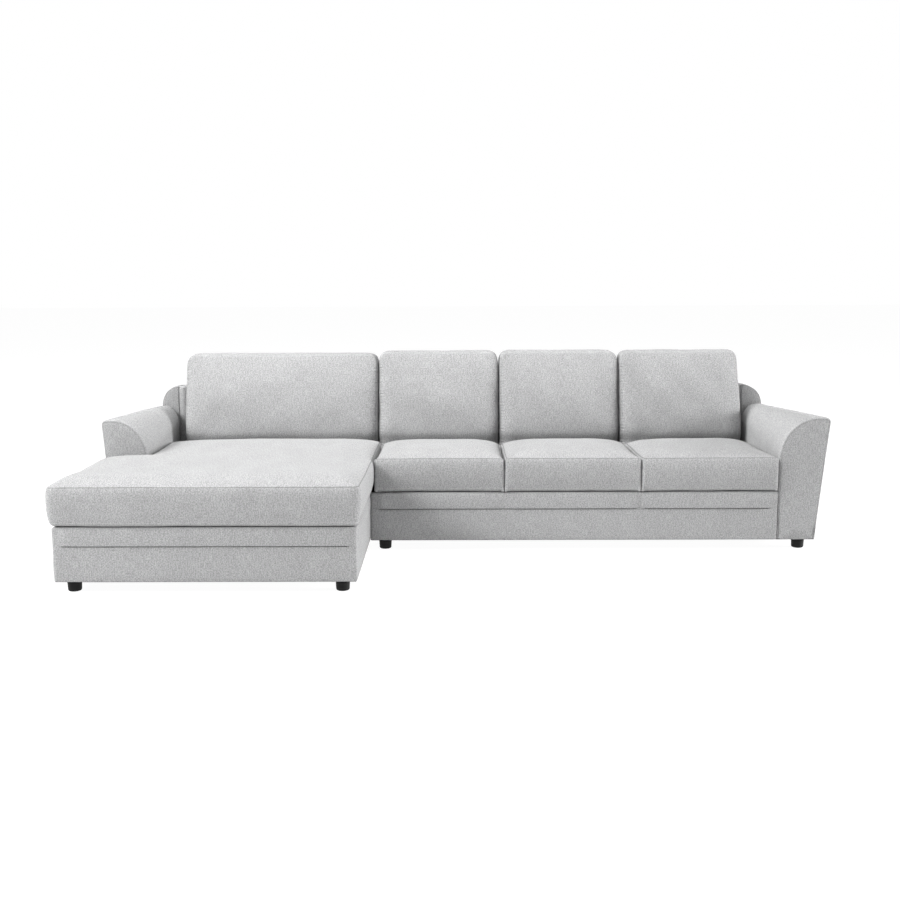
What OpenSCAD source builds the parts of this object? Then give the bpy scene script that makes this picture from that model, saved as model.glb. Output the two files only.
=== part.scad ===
// Corner sofa with a chaise on its left and three seats on its right.
// Two sprung and upholstered units are linked under their seat bases; eight boxed cushions lie loose on them.
// Millimetres, +Z up, the front faces -Y.
// The origin is on the floor, in the middle of the sofa's length and depth.

/* [Overall] */
// Length of the seat bases and the feet of the arms, left to right
base_w = 3181; // [3000:1:3400]
// Depth of the three-seat unit, front panel to back
unit_depth = 930; // [880:1:1000]
// How far the chaise runs out past the three-seat unit
chaise_out = 700; // [550:1:850]
// Width of the chaise unit
chaise_w = 1190; // [1130:1:1260]
// Gap between the two units
unit_gap = 2; // [1:0.5:5]
// Height of the upper edge of the seat bases
base_top = 267; // [255:1:285]
// Gap between pieces that are sewn or stapled side by side
seam_gap = 0.5; // [0.3:0.1:1]

/* [Seat base covers] */
// Thickness of the fabric and wadding over the timber
skin = 12; // [8:0.5:16]
// Radius of the upright corners of the bases
base_r = 10; // [4:1:14]
// Height of the sewn tuck that runs round the bases
tuck_z = 191.5; // [150:0.5:220]
// How far the fold above the tuck stands proud
tuck_out = 4; // [2:0.5:7]
// Distance from a corner at which the tuck ends
tuck_end = 28; // [18:1:50]
// Gap between two lengths of the tuck at a seat division
tuck_gap = 2; // [1:0.5:5]

/* [Seat cushions] */
// Depth of the seat in front of the back cushions
seat_depth = 564; // [520:1:600]
// Width of the middle and right seat cushions; the left one fills the rest
seat_w = 608; // [580:1:620]
// Height of the top front seam
seam_z = 423; // [400:1:440]
// Rise of the crown above the seam
seat_crown = 18; // [6:1:30]
// Distance over which the crown rises
crown_run = 210; // [120:5:260]
// How far the side seams of a seat cushion dip behind its front corners
seat_dip = 21; // [0:1:30]
// How far the side seams of the chaise cushion dip
chaise_dip = 7; // [0:1:30]
// How far the chaise cushion reaches past its base on its right side
chaise_over = 20; // [8:1:26]
// How far the seat cushions reach past the front and left of the bases
front_over = 15; // [8:1:24]
// Corner radius of the seat cushions, seen from above
seat_r = 30; // [12:1:45]
// Gap between loose cushions, and between them and what they rest on
cushion_gap = 1; // [0.6:0.1:3]

/* [Back cushions] */
// Height of the back cushions' tops above the floor
back_cushion_top = 853; // [800:1:900]
// Gap from the right back cushion to the right arm
back_side_gap = 35; // [20:1:60]
// Gap from the chaise's back cushion to the left arm
back_left_gap = 56; // [30:1:80]
// Lean of the back cushions' front faces, in degrees
front_lean = 11; // [7:0.5:15]
// How far the seams of a back cushion lie behind its fullest line
back_crown = 34; // [15:1:45]
// Distance over which that fullness rises
back_crown_run = 150; // [80:5:180]
// Corner radius at the top of the back cushions
back_r = 52; // [25:1:75]
// Corner radius at the foot of the back cushions
back_foot_r = 26; // [12:1:45]

/* [Backs] */
// Height of the backs and wings
back_top = 674; // [620:1:720]
// Depth of the backs below the seat
back_t = 175; // [150:1:200]
// How far the front of the backs leans away from the seat, top against foot
back_rake = 50; // [20:1:70]
// Radius of the top edges of the backs
back_edge_r = 18; // [8:1:30]
// Radius of the wings' outer top corners
wing_r = 107; // [60:1:130]
// How far the wings lean in from the ends of the bases
wing_lean = 70.5; // [40:0.5:90]

/* [Arms] */
// Width of an arm at its foot
arm_w = 174.5; // [160:0.5:200]
// Height of the right arm at the front
arm_top = 599; // [560:1:640]
// Height of the shorter left arm at the front
left_arm_top = 583; // [560:1:640]
// Height of the arms at the back
arm_top_back = 574.5; // [540:0.5:620]
// How far the arms flare out past their feet at the front
arm_flare = 51.5; // [20:0.5:80]
// How far the arms lean in from their feet at the back
arm_lean = 71; // [40:1:90]
// Rise of the rounded inner shoulder at the front
shoulder_front = 189; // [120:1:220]
// Rise of the rounded inner shoulder at the back
shoulder_back = 94; // [60:1:150]
// Radius of the arms' outer top corners at the front
arm_r_front = 24; // [15:1:40]
// Radius of the arms' outer top corners at the back
arm_r_back = 25; // [15:1:35]
// Width of the flat strip beside that corner at the front
arm_flat_front = 30; // [10:1:40]
// Width of that strip at the back
arm_flat_back = 12; // [6:1:20]
// How far the left arm is set back behind the chaise cushion
arm_setback = 110; // [60:1:160]
// Thickness of the padding over an arm's frame
arm_skin = 14; // [10:0.5:18]

/* [Timber] */
// Thickness of the rails
rail_t = 25; // [20:1:30]
// Height of the upper edge of the seat rails
rail_top = 226; // [205:1:232]
// Thickness of the plywood panels in the arms
ply_t = 18; // [12:1:24]
// Height of the rails in the arms and backs
rail_h = 60; // [40:1:80]
// Side of the square corner blocks
block_w = 50; // [44:1:60]
// Height of the corner blocks
block_h = 40; // [30:1:60]

/* [Springs] */
// Diameter of the spring wire
wire_d = 3.8; // [3:0.1:5]
// Aimed distance from one bar of a spring to the next
spring_pitch = 62; // [54:1:80]
// Length of the straight bars of a spring
bar_len = 30; // [26:1:40]
// Aimed distance from one spring to the next
spring_gap = 155; // [145:1:190]
// Thickness of the spring clips
clip_t = 1.5; // [1:0.1:2]
// Width of the back webbing
strap_w = 60; // [40:1:80]
// Thickness of the back webbing
strap_t = 1.6; // [1:0.1:2.5]

/* [Feet and fasteners] */
// Height of the feet
foot_h = 48; // [35:1:70]
// Diameter of a foot at its top
foot_d = 58; // [46:1:64]
// Thickness of the cloth under the bases
dust_t = 1; // [0.8:0.1:2]
// Diameter of the foot bolts and frame bolts
bolt_d = 8; // [6:1:10]
// Aimed distance from one bolt to the next along an arm
bolt_gap = 175; // [140:1:220]
// Distance from the ends of an arm to its first and last bolts
bolt_edge = 90; // [60:1:110]
// Thickness of the nuts and bolt heads
nut_t = 6; // [4:0.5:8]
// Thickness of the plates that link the two units
link_t = 3; // [2:0.5:4]
// Width of those plates, front to back
link_w = 60; // [50:1:80]
// Distance from the front and the back of the seats to the middle of a plate
link_edge = 170; // [120:1:220]
// Diameter of the wood screws
screw_d = 5; // [4:0.5:6]

/* [Hidden] */

fabric_colour = [0.80, 0.80, 0.81];
timber_colour = [0.80, 0.66, 0.46];
steel_colour = [0.62, 0.64, 0.67];
foam_colour = [0.93, 0.88, 0.70];
black_colour = [0.09, 0.09, 0.10];

eps = 0.01;
over = 1;
play = 0.3;
round_fn = 48;

// Outer limits of the bases and backs
x_left = -base_w / 2;
x_right = base_w / 2;
x_split = x_left + chaise_w;
chaise_right = x_split - unit_gap / 2;
sofa_left = x_split + unit_gap / 2;
y_back = (unit_depth + chaise_out + front_over) / 2;
y_front = y_back - unit_depth;
y_chaise = y_front - chaise_out;
y_back_face = y_back - back_t;
arm_in = x_right - arm_w;
wing_out = x_right - wing_lean;
wing_side_over = 4;
wing_open_y = y_back_face + back_rake + wing_side_over;
y_left_arm = y_front + arm_setback;
z_base = foot_h + dust_t;

// Cushions
seat_rear = y_front + seat_depth;
z_cushion = base_top + cushion_gap / 2;
div_right = arm_in - seat_w;
div_middle = div_right - seat_w;
div_left = x_split + chaise_over;
back_end = arm_in - back_side_gap;
back_left_end = back_left_gap - arm_in;
back_w = (back_end - x_split) / 3;
seat_bulge = 7;
back_bulge = 8;
dip_run = 60;
foam_margin = 34;
foam_floor = 20;
foam_cap = 44;
foam_front = 14;
foam_rear = 22;

// Timber
wire_lift = 0.2;
spring_clear = 12;
bolt_rise = 100;
inner_y = y_front + skin;
inner_y_chaise = y_chaise + skin;
wire_z = rail_top + wire_d / 2 + wire_lift;
clip_ir = wire_d / sqrt(2) + wire_lift;
clip_or = clip_ir + clip_t;
clip_len = 0.8 * bar_len;
pad_bottom = wire_z + clip_or + play;
foot_in = skin + rail_t + block_w / 2;
bolt_z = z_base + bolt_rise;
bolt_clear = 0.2;
head_d = 2 * bolt_d;

// Feet, as [x, y] points
feet_left = [
    [x_left + foot_in, y_chaise + foot_in],
    [chaise_right - foot_in, y_chaise + foot_in],
    [x_left + foot_in, y_back - foot_in],
    [chaise_right - foot_in, y_back_face - rail_t - block_w / 2],
    [chaise_right - foot_in, y_left_arm - seam_gap - rail_t - block_w / 2]
];
feet_right = [
    [sofa_left + foot_in, y_front + foot_in],
    [x_right - foot_in, y_front + foot_in],
    [sofa_left + foot_in, y_back_face - rail_t - block_w / 2],
    [x_right - foot_in, y_back - foot_in],
    [div_middle + rail_t / 2 + block_w / 2, (y_front + y_back_face) / 2]
];
feet_all = concat(feet_left, feet_right);

function mix(a, b, t) = a + (b - a) * t;
function arc(cx, cz, rx, rz, a0, a1, n) =
    [for (i = [0 : n]) let (a = mix(a0, a1, i / n)) [cx + rx * cos(a), cz + rz * sin(a)]];

// The same points in the opposite order
function turned(points) = [for (i = [len(points) - 1 : -1 : 0]) points[i]];

// Evenly spaced places from a to b, ends included, about gap apart
function spread(a, b, gap) = let (n = max(1, round((b - a) / gap))) [for (i = [0 : n]) mix(a, b, i / n)];

module box(x0, x1, y0, y1, z0, z1) {
    translate([x0, y0, z0]) cube([x1 - x0, y1 - y0, z1 - z0]);
}

// Extrudes a [y, z] outline along X
module along_x(x0, x1, points) {
    translate([x0, 0, 0])
        rotate([90, 0, 90])
            linear_extrude(x1 - x0) polygon(points);
}

// Extrudes an [x, z] outline along Y
module along_y(y0, y1, points) {
    translate([0, y1, 0])
        rotate([90, 0, 0])
            linear_extrude(y1 - y0) polygon(points);
}

// A solid skinned through rings of [x, y, z] points that all have the same count
module loft(rings) {
    n = len(rings[0]);
    m = len(rings);
    points = [for (ring = rings) each ring];
    sides = [
        for (k = [0 : m - 2])
            for (i = [0 : n - 1])
                let (a = k * n + i, b = k * n + (i + 1) % n)
                    each [[a, a + n, b + n], [a, b + n, b]]
    ];
    first = [[for (i = [0 : n - 1]) i]];
    last = [[for (i = [0 : n - 1]) m * n - 1 - i]];
    polyhedron(points = points, faces = concat(sides, first, last), convexity = 4);
}

// Height of a crown at a distance d inside its seam, from 0 to 1
crown_power = 2.2;
function rise(d, run) = 1 - pow(1 - min(max(d / run, 0), 1), crown_power);

// Front faces of the backs and of the back cushions, as y at a height z
function back_plane(z) = y_back_face + back_rake * max(0, z - base_top) / (back_top - base_top);
front_bend = seam_z + 13;
function front_line(z) = seat_rear + cushion_gap / 2 + max(0, z - front_bend) * tan(front_lean);

// Section of an arm on the right at y, as [x, z] points from its inner foot to its outer foot, inset by w.
// Its top is h high at the place y0 where the arm starts.
function arm_section(y, w, z0, y0, h) =
    let (
        t = (y - y_front) / (y_back_face - y_front),
        top = mix(h, arm_top_back, (y - y0) / (y_back_face - y0)),
        out = x_right + mix(arm_flare, -arm_lean, t),
        r = mix(arm_r_front, arm_r_back, t),
        shoulder = mix(shoulder_front, shoulder_back, t),
        mid = out - r - mix(arm_flat_front, arm_flat_back, t),
        lean = atan((out - x_right) / (top - r - z_base)),
        r_in = max(r - w, 3)
    )
    concat(
        [[arm_in + w, z0]],
        arc(mid, top - shoulder, mid - arm_in - w, shoulder - w, 180, 90, 10),
        arc(out - w - r_in, top - w - r_in, r_in, r_in, 90, -lean, 5),
        [[x_right - w, z0]]
    );
function arm_ring(y, w, z0, y0, h) = [for (p = arm_section(y, w, z0, y0, h)) [p.x, y, p.y]];
function bar_ring(y, x0, x1, z0, z1) = [[x0, y, z0], [x0, y, z1], [x1, y, z1], [x1, y, z0]];

// Front view of the right wing, from x0 outwards, inset by w
function wing_outline(w, x0, z0) =
    let (
        r = min(wing_r, wing_out - arm_in - seam_gap - eps),
        lean = atan(wing_lean / (back_top - r - z_base))
    )
    concat(
        [[x0, z0], [x0, back_top - w]],
        arc(wing_out - r, back_top - r, r - w, r - w, 90, lean, 12),
        [[x_right - w, z0]]
    );

// Top of the raked back profile, rounded in front and behind, inset by w
function back_crest(w) =
    let (
        lean = atan(back_rake / (back_top - base_top)),
        r = max(back_edge_r - w, 4),
        z = back_top - w - r,
        y_in = back_plane(z) + (w + r) / cos(lean)
    )
    concat(
        arc(y_in, z, r, r, 180 - lean, 90, 6),
        arc(y_back - w - r, z, r, r, 90, 0, 6)
    );

// Frame rails, as boxes [x0, x1, y0, y1, z1] that all stand on the cloth under the bases
low_z = rail_top - 30;
chaise_in = chaise_right - skin;
chaise_left_in = x_left + skin;
step_y = y_left_arm - seam_gap;
front_cross_y = (inner_y_chaise + step_y) / 2;
rear_cross_y = (step_y + y_back_face) / 2;
chaise_rails = [
    [chaise_left_in, chaise_in, inner_y_chaise, inner_y_chaise + rail_t, rail_top],
    [chaise_in - rail_t, chaise_in, inner_y_chaise, y_back_face, rail_top],
    [chaise_left_in, chaise_left_in + rail_t, inner_y_chaise, step_y, rail_top],
    [chaise_left_in, rail_t - arm_in, step_y - rail_t, step_y, rail_top],
    [-arm_in, rail_t - arm_in, step_y - rail_t, y_back_face, rail_top],
    [-arm_in, chaise_in, y_back_face - rail_t, y_back_face, rail_top],
    [-arm_in, chaise_in, step_y - rail_t, step_y, low_z],
    [chaise_left_in, chaise_in, front_cross_y, front_cross_y + rail_t, low_z],
    [-arm_in, chaise_in, rear_cross_y, rear_cross_y + rail_t, low_z]
];
sofa_in = sofa_left + skin;
sofa_rails = [
    [sofa_in, arm_in, inner_y, inner_y + rail_t, rail_top],
    [sofa_in, sofa_in + rail_t, inner_y, y_back_face, rail_top],
    [arm_in - rail_t, arm_in, inner_y, y_back_face, rail_top],
    [sofa_in, arm_in, y_back_face - rail_t, y_back_face, rail_top],
    [div_middle - rail_t / 2, div_middle + rail_t / 2, inner_y, y_back_face, low_z],
    [div_right - rail_t / 2, div_right + rail_t / 2, inner_y, y_back_face, low_z]
];

// Posts of the backs, and the places of the fasteners
chaise_posts = [rail_t - arm_in, mix(-arm_in, chaise_in, 0.5), chaise_in - rail_t / 2 - play];
sofa_posts = [sofa_in + rail_t / 2 + play, div_middle, div_right, arm_in - rail_t];
function between(posts) =
    [for (i = [0 : len(posts) - 2]) for (t = [0.3, 0.7]) mix(posts[i], posts[i + 1], t)];
chaise_bolts_x = between(chaise_posts);
sofa_bolts_x = between(sofa_posts);
left_bolts_y = spread(y_left_arm + bolt_edge, y_back_face - bolt_edge, bolt_gap);
right_bolts_y = spread(y_front + bolt_edge, y_back_face - bolt_edge, bolt_gap);
link_y = [y_front + link_edge, y_back_face - link_edge];
link_x = unit_gap / 2 + skin + rail_t / 2;
link_screws_at = [
    for (y = link_y)
        for (side = [-1, 1])
            for (dy = [-link_w / 4, link_w / 4])
                [x_split + side * link_x, y + dy]
];
screw_len = 32;

// Ends and rows of the springs
front_spring_x = [chaise_left_in + rail_t / 2, chaise_in - rail_t / 2];
rear_spring_x = [rail_t / 2 - arm_in, chaise_in - rail_t / 2];
spring_edge = bar_len / 2 + spring_pitch / 2 + spring_clear;
front_rows = spread(inner_y_chaise + rail_t + spring_edge, step_y - rail_t - spring_edge, spring_gap);
rear_rows = spread(step_y + spring_edge, y_back_face - rail_t - spring_edge, spring_gap);
sofa_spring_y = [inner_y + rail_t / 2, y_back_face - rail_t / 2];
sofa_columns = spread(sofa_in + rail_t + spring_edge, arm_in - rail_t - spring_edge, spring_gap);

module rails(list) {
    for (r = list) box(r[0], r[1], r[2], r[3], z_base, r[4]);
}

// Bores along X at the left or right arm, and along Y at the backs
module arm_bores(ys, side) {
    for (y = ys)
        translate([side * (arm_in - rail_t - over), y, bolt_z])
            rotate([0, side * 90, 0])
                cylinder(h = rail_t + ply_t + 2 * over, d = bolt_d + 2 * bolt_clear, $fn = round_fn);
}
module back_bores(xs) {
    for (x = xs)
        translate([x, y_back_face - rail_t - over, bolt_z])
            rotate([-90, 0, 0])
                cylinder(h = 2 * rail_t + 2 * over, d = bolt_d + 2 * bolt_clear, $fn = round_fn);
}
module link_bores(z0, z1) {
    for (p = link_screws_at)
        translate([p.x, p.y, z0]) cylinder(h = z1 - z0, d = screw_d + 2 * bolt_clear, $fn = round_fn);
}

module chaise_seat_frame() {
    color(timber_colour)
        difference() {
            rails(chaise_rails);
            arm_bores(left_bolts_y, -1);
            back_bores(chaise_bolts_x);
            link_bores(z_base - over, z_base + screw_len);
        }
}
module sofa_seat_frame() {
    color(timber_colour)
        difference() {
            rails(sofa_rails);
            arm_bores(right_bolts_y, 1);
            back_bores(sofa_bolts_x);
            link_bores(z_base - over, z_base + screw_len);
        }
}

// One side of a sinuous wire of n half turns along X, w / 2 to the left of its middle line
function wire_side(n, step, w) =
    let (last = n % 2 == 1 ? 1 : -1)
    concat(
        [[-w / 2, -bar_len / 2]],
        [
            for (i = [0 : n - 1])
                let (side = i % 2 == 0 ? 1 : -1, r = (step + side * w) / 2)
                    for (a = [180 : -30 : 0])
                        [(i + 0.5) * step + r * cos(a), side * (bar_len / 2 + r * sin(a))]
        ],
        [[n * step + last * w / 2, -last * bar_len / 2]]
    );

// A sinuous spring along X: straight bars across it, joined by half turns on alternate sides
module spring(length) {
    n = max(2, round(length / spring_pitch));
    step = length / n;
    linear_extrude(wire_d, center = true)
        polygon(concat(wire_side(n, step, wire_d), turned(wire_side(n, step, -wire_d))));
}
module chaise_springs() {
    color(steel_colour) {
        for (y = front_rows)
            translate([front_spring_x[0], y, wire_z]) spring(front_spring_x[1] - front_spring_x[0]);
        for (y = rear_rows)
            translate([rear_spring_x[0], y, wire_z]) spring(rear_spring_x[1] - rear_spring_x[0]);
    }
}
module sofa_springs() {
    color(steel_colour)
        for (x = sofa_columns)
            translate([x, sofa_spring_y[0], wire_z])
                rotate([0, 0, 90]) spring(sofa_spring_y[1] - sofa_spring_y[0]);
}

// A bent strip that holds the end bar of a spring down on a rail, its flange on the -X side
module clip() {
    drop = wire_z - rail_top;
    flange = rail_t / 2 - 1;
    rotate([90, 0, 0])
        linear_extrude(clip_len, center = true)
            difference() {
                union() {
                    circle(r = clip_or, $fn = round_fn);
                    translate([-clip_or, -drop]) square([2 * clip_or, drop]);
                    translate([-flange, -drop]) square([flange, clip_t]);
                }
                circle(r = clip_ir, $fn = round_fn);
                translate([-clip_ir, -drop - over]) square([2 * clip_ir, drop + over]);
                translate([-flange - over, -drop - 2 * clip_or]) square([2 * (flange + over), 2 * clip_or]);
            }
}
module clips_at(x0, x1, y) {
    translate([x0, y, wire_z]) clip();
    translate([x1, y, wire_z]) rotate([0, 0, 180]) clip();
}
module chaise_spring_clips() {
    color(steel_colour) {
        for (y = front_rows) clips_at(front_spring_x[0], front_spring_x[1], y);
        for (y = rear_rows) clips_at(rear_spring_x[0], rear_spring_x[1], y);
    }
}
module sofa_spring_clips() {
    color(steel_colour)
        for (x = sofa_columns)
            rotate([0, 0, 90]) clips_at(sofa_spring_y[0], sofa_spring_y[1], -x);
}

module chaise_deck_pad() {
    color(foam_colour) {
        x1 = chaise_in - seam_gap;
        y0 = inner_y_chaise + seam_gap;
        translate([0, 0, pad_bottom])
            linear_extrude(base_top - pad_bottom)
                polygon([
                    [chaise_left_in + seam_gap, y0], [x1, y0], [x1, y_back_face - seam_gap],
                    [seam_gap - arm_in, y_back_face - seam_gap], [seam_gap - arm_in, step_y - seam_gap],
                    [chaise_left_in + seam_gap, step_y - seam_gap]
                ]);
    }
}
module sofa_deck_pad() {
    color(foam_colour)
        box(sofa_in + seam_gap, arm_in - seam_gap, inner_y + seam_gap, y_back_face - seam_gap,
            pad_bottom, base_top);
}

// The band above the tuck: it folds out over the lower panel and draws in to the top edge
fold_r = 2;
band_swell = 1.5;
tuck_section = [
    [0, tuck_z], [tuck_out - fold_r / 2, tuck_z], [tuck_out, tuck_z + fold_r],
    [tuck_out + band_swell, mix(tuck_z, base_top, 0.4)], [tuck_out, mix(tuck_z, base_top, 0.75)],
    [0, base_top - fold_r]
];
module tuck(length) {
    rotate([90, 0, 90])
        linear_extrude(length)
            polygon([for (p = tuck_section) [-p.x, p.y]]);
}
function corner(x, y, sx, sy, r) =
    [for (a = [0 : 15 : 90]) [x + sx * r * (1 - sin(a)), y + sy * r * (1 - cos(a))]];

module chaise_base_cover() {
    y_end = y_back_face - seam_gap;
    front_tuck = chaise_w - unit_gap / 2 - 2 * tuck_end;
    left_tuck = step_y - y_chaise - 2 * tuck_end;
    right_tuck = chaise_out - 2 * tuck_end;
    color(fabric_colour) {
        translate([0, 0, z_base])
            linear_extrude(base_top - z_base)
                difference() {
                    polygon(concat(
                        turned(corner(x_left, y_chaise, 1, 1, base_r)),
                        corner(chaise_right, y_chaise, -1, 1, base_r),
                        [[chaise_right, y_end], [-arm_in, y_end], [-arm_in, step_y], [x_left, step_y]]
                    ));
                    polygon([
                        [chaise_left_in, inner_y_chaise], [chaise_in, inner_y_chaise],
                        [chaise_in, y_end + over], [-arm_in - over, y_end + over],
                        [-arm_in - over, step_y + over], [chaise_left_in, step_y + over]
                    ]);
                }
        translate([x_left + tuck_end, y_chaise + eps, 0]) tuck(front_tuck);
        translate([chaise_right - eps, y_chaise + tuck_end, 0]) rotate([0, 0, 90]) tuck(right_tuck);
        translate([x_left + eps, step_y - tuck_end, 0]) rotate([0, 0, -90]) tuck(left_tuck);
    }
}
module sofa_base_cover() {
    x_end = arm_in - seam_gap;
    y_end = y_back_face - seam_gap;
    ends = [sofa_left + tuck_end, div_middle, div_right, x_end - tuck_end];
    color(fabric_colour) {
        translate([0, 0, z_base])
            linear_extrude(base_top - z_base)
                polygon([
                    [sofa_left, y_front], [x_end, y_front], [x_end, inner_y], [sofa_in, inner_y],
                    [sofa_in, y_end], [sofa_left, y_end]
                ]);
        for (i = [0 : 2])
            let (a = ends[i] + (i > 0 ? tuck_gap / 2 : 0), b = ends[i + 1] - (i < 2 ? tuck_gap / 2 : 0))
                translate([a, y_front + eps, 0]) tuck(b - a);
    }
}

dust_in = 4;
module dust_cover(x0, x1, y0, feet) {
    color(black_colour)
        difference() {
            box(x0 + dust_in, x1 - dust_in, y0 + dust_in, y_back - dust_in, foot_h, z_base);
            for (p = feet)
                translate([p.x, p.y, foot_h - over])
                    cylinder(h = dust_t + 2 * over, d = bolt_d + 2 * bolt_clear, $fn = round_fn);
            link_bores(foot_h - over, z_base + over);
        }
}
module chaise_dust_cover() {
    dust_cover(x_left, chaise_right, y_chaise, feet_left);
}
module sofa_dust_cover() {
    dust_cover(sofa_left, x_right, y_front, feet_right);
}

// An arm from its front panel at y0 back to the wing; the left arm is the same form, mirrored
arm_edge = 6;
arm_end = y_back_face - seam_gap;
window_rise = 14;
window_top = rail_top + window_rise;
side_rail_in = 15;
arm_rail_in = 12;
arm_rail_drop = 6;
module arm_cover(y0, h) {
    ya = y0 + arm_skin;
    yb = arm_end - arm_skin;
    color(fabric_colour)
        difference() {
            loft(concat(
                [arm_ring(y0, arm_edge, z_base, y0, h)],
                [for (i = [0 : 6]) arm_ring(mix(y0 + arm_edge, arm_end, i / 6), 0, z_base, y0, h)]
            ));
            loft([for (i = [0 : 4]) arm_ring(mix(ya, yb, i / 4), arm_skin, z_base - over, y0, h)]);
            box(arm_in - over, arm_in + arm_skin + over, ya + ply_t, yb - ply_t, z_base - over, window_top);
        }
}
module arm_frame(y0, h, bolts) {
    w = arm_skin + play;
    ya = y0 + w;
    yb = arm_end - w;
    x_rail = x_right - arm_skin - side_rail_in;
    color(timber_colour)
        difference() {
            union() {
                loft([for (y = [ya, ya + ply_t]) arm_ring(y, w, z_base, y0, h)]);
                loft([for (y = [yb - ply_t, yb]) arm_ring(y, w, z_base, y0, h)]);
                box(arm_in, arm_in + ply_t, ya + ply_t - eps, yb - ply_t + eps, z_base, window_top - play);
                box(x_rail - ply_t, x_rail, ya + ply_t - eps, yb - ply_t + eps,
                    z_base + block_h, z_base + block_h + rail_h);
                loft([for (y = [ya + ply_t - eps, yb - ply_t + eps]) arm_rail(y, w, y0, h)]);
            }
            arm_bores(bolts, 1);
        }
}
// Section of the rail under the top of an arm
function arm_rail(y, w, y0, h) =
    let (
        section = arm_section(y, w, z_base, y0, h),
        mid = section[11],
        top = mid.y - arm_rail_drop
    )
    bar_ring(y, mid.x - arm_rail_in, mid.x + ply_t, top - rail_t, top);

module left_arm_cover() {
    mirror([1, 0, 0]) arm_cover(y_left_arm, left_arm_top);
}
module right_arm_cover() {
    arm_cover(y_front, arm_top);
}
module left_arm_frame() {
    mirror([1, 0, 0]) arm_frame(y_left_arm, left_arm_top, left_bolts_y);
}
module right_arm_frame() {
    arm_frame(y_front, arm_top, right_bolts_y);
}

// A wing's inner side is closed beside the raked back, and open behind it where the timber comes in
module wing_cover() {
    x0 = arm_in + seam_gap;
    y0 = y_back_face + seam_gap;
    color(fabric_colour)
        difference() {
            along_y(y0, y_back, wing_outline(0, x0, z_base));
            intersection() {
                along_y(y0 + skin, y_back - skin, wing_outline(skin, arm_in - over, z_base - over));
                union() {
                    box(x0 + skin, x_right, y_back_face, y_back, 0, back_top);
                    box(0, x_right, wing_open_y, y_back, 0, back_top);
                }
            }
        }
}
module left_wing_cover() {
    mirror([1, 0, 0]) wing_cover();
}
module right_wing_cover() {
    wing_cover();
}

// The raked back between the arms; its lower front is open where the frames bolt together
module back_cover(x0, x1, in0, in1) {
    color(fabric_colour)
        difference() {
            along_x(x0, x1, concat(
                [[y_back_face, z_base], [y_back_face, base_top]], back_crest(0), [[y_back, z_base]]
            ));
            along_x(in0, in1, concat(
                [
                    [y_back_face - over, z_base - over], [y_back_face - over, rail_top + skin / 2],
                    [y_back_face + skin, rail_top + skin / 2], [y_back_face + skin, base_top]
                ],
                back_crest(skin), [[y_back - skin, z_base - over]]
            ));
        }
}
module chaise_back_cover() {
    back_cover(-arm_in, chaise_right, -arm_in - over, chaise_right - skin);
}
module sofa_back_cover() {
    back_cover(sofa_left, arm_in, sofa_left + skin, arm_in + over);
}

// Timber of a back: posts with a raked front edge, rails let into them, and a shaped board in the wing.
// The posts stand a little behind the faces of the rails.
frame_face = skin + strap_t + 2 * play;
frame_rear = y_back - skin - play;
frame_top = back_top - skin - play;
rail_crest = frame_top - back_edge_r;
crest_drop = 2;
lower_rail_z = base_top + 4;
post_set = 1;
module post(x) {
    front = frame_face + post_set;
    rear = frame_rear - post_set;
    low = y_back_face + post_set;
    shoulder = rail_crest + post_set;
    along_x(x - rail_t / 2, x + rail_t / 2, [
        [low, z_base], [low, rail_top - post_set], [y_back_face + front, rail_top - post_set],
        [y_back_face + front, base_top], [back_plane(shoulder) + front, shoulder],
        [back_plane(frame_top) + front + back_edge_r, frame_top - crest_drop],
        [rear - back_edge_r, frame_top - crest_drop], [rear, shoulder], [rear, z_base]
    ]);
}
module raked_rail(x0, x1, z0, z1) {
    along_x(x0, x1, [
        [back_plane(z0) + frame_face, z0], [back_plane(z1) + frame_face, z1],
        [back_plane(z1) + frame_face + rail_t, z1], [back_plane(z0) + frame_face + rail_t, z0]
    ]);
}
module back_frame(x0, x1, posts, side) {
    board_y = y_back - foot_in - block_w / 2;
    board = wing_outline(skin + play, arm_in - rail_t - post_set, z_base);
    difference() {
        union() {
            for (x = posts) post(x);
            box(x0, x1, y_back_face, y_back_face + rail_t, z_base, rail_top);
            raked_rail(x0, x1, lower_rail_z, lower_rail_z + rail_h);
            raked_rail(x0, x1, rail_crest - rail_h, rail_crest);
            box(x0, x1, frame_rear - rail_t, frame_rear, rail_crest - rail_h, rail_crest);
            mirror([side < 0 ? 1 : 0, 0, 0]) along_y(board_y - ply_t, board_y, board);
        }
        back_bores(side < 0 ? chaise_bolts_x : sofa_bolts_x);
    }
}
module chaise_back_frame() {
    color(timber_colour) back_frame(rail_t - arm_in, chaise_in - play, chaise_posts, -1);
}
module sofa_back_frame() {
    color(timber_colour) back_frame(sofa_in + play, arm_in - rail_t, sofa_posts, 1);
}

// Upright elastic webbing on the front of a back frame
module webbing(posts) {
    z0 = lower_rail_z + rail_h / 6;
    z1 = rail_crest - rail_h / 6;
    end_gap = rail_t + strap_w / 2;
    color(black_colour)
        for (i = [0 : len(posts) - 2])
            let (xs = spread(posts[i] + end_gap, posts[i + 1] - end_gap, 2 * strap_w))
                for (x = xs)
                    along_x(x - strap_w / 2, x + strap_w / 2, [
                        [back_plane(z0) + frame_face - strap_t, z0],
                        [back_plane(z1) + frame_face - strap_t, z1],
                        [back_plane(z1) + frame_face, z1], [back_plane(z0) + frame_face, z0]
                    ]);
}
module chaise_back_webbing() {
    webbing(chaise_posts);
}
module sofa_back_webbing() {
    webbing(sofa_posts);
}

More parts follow.
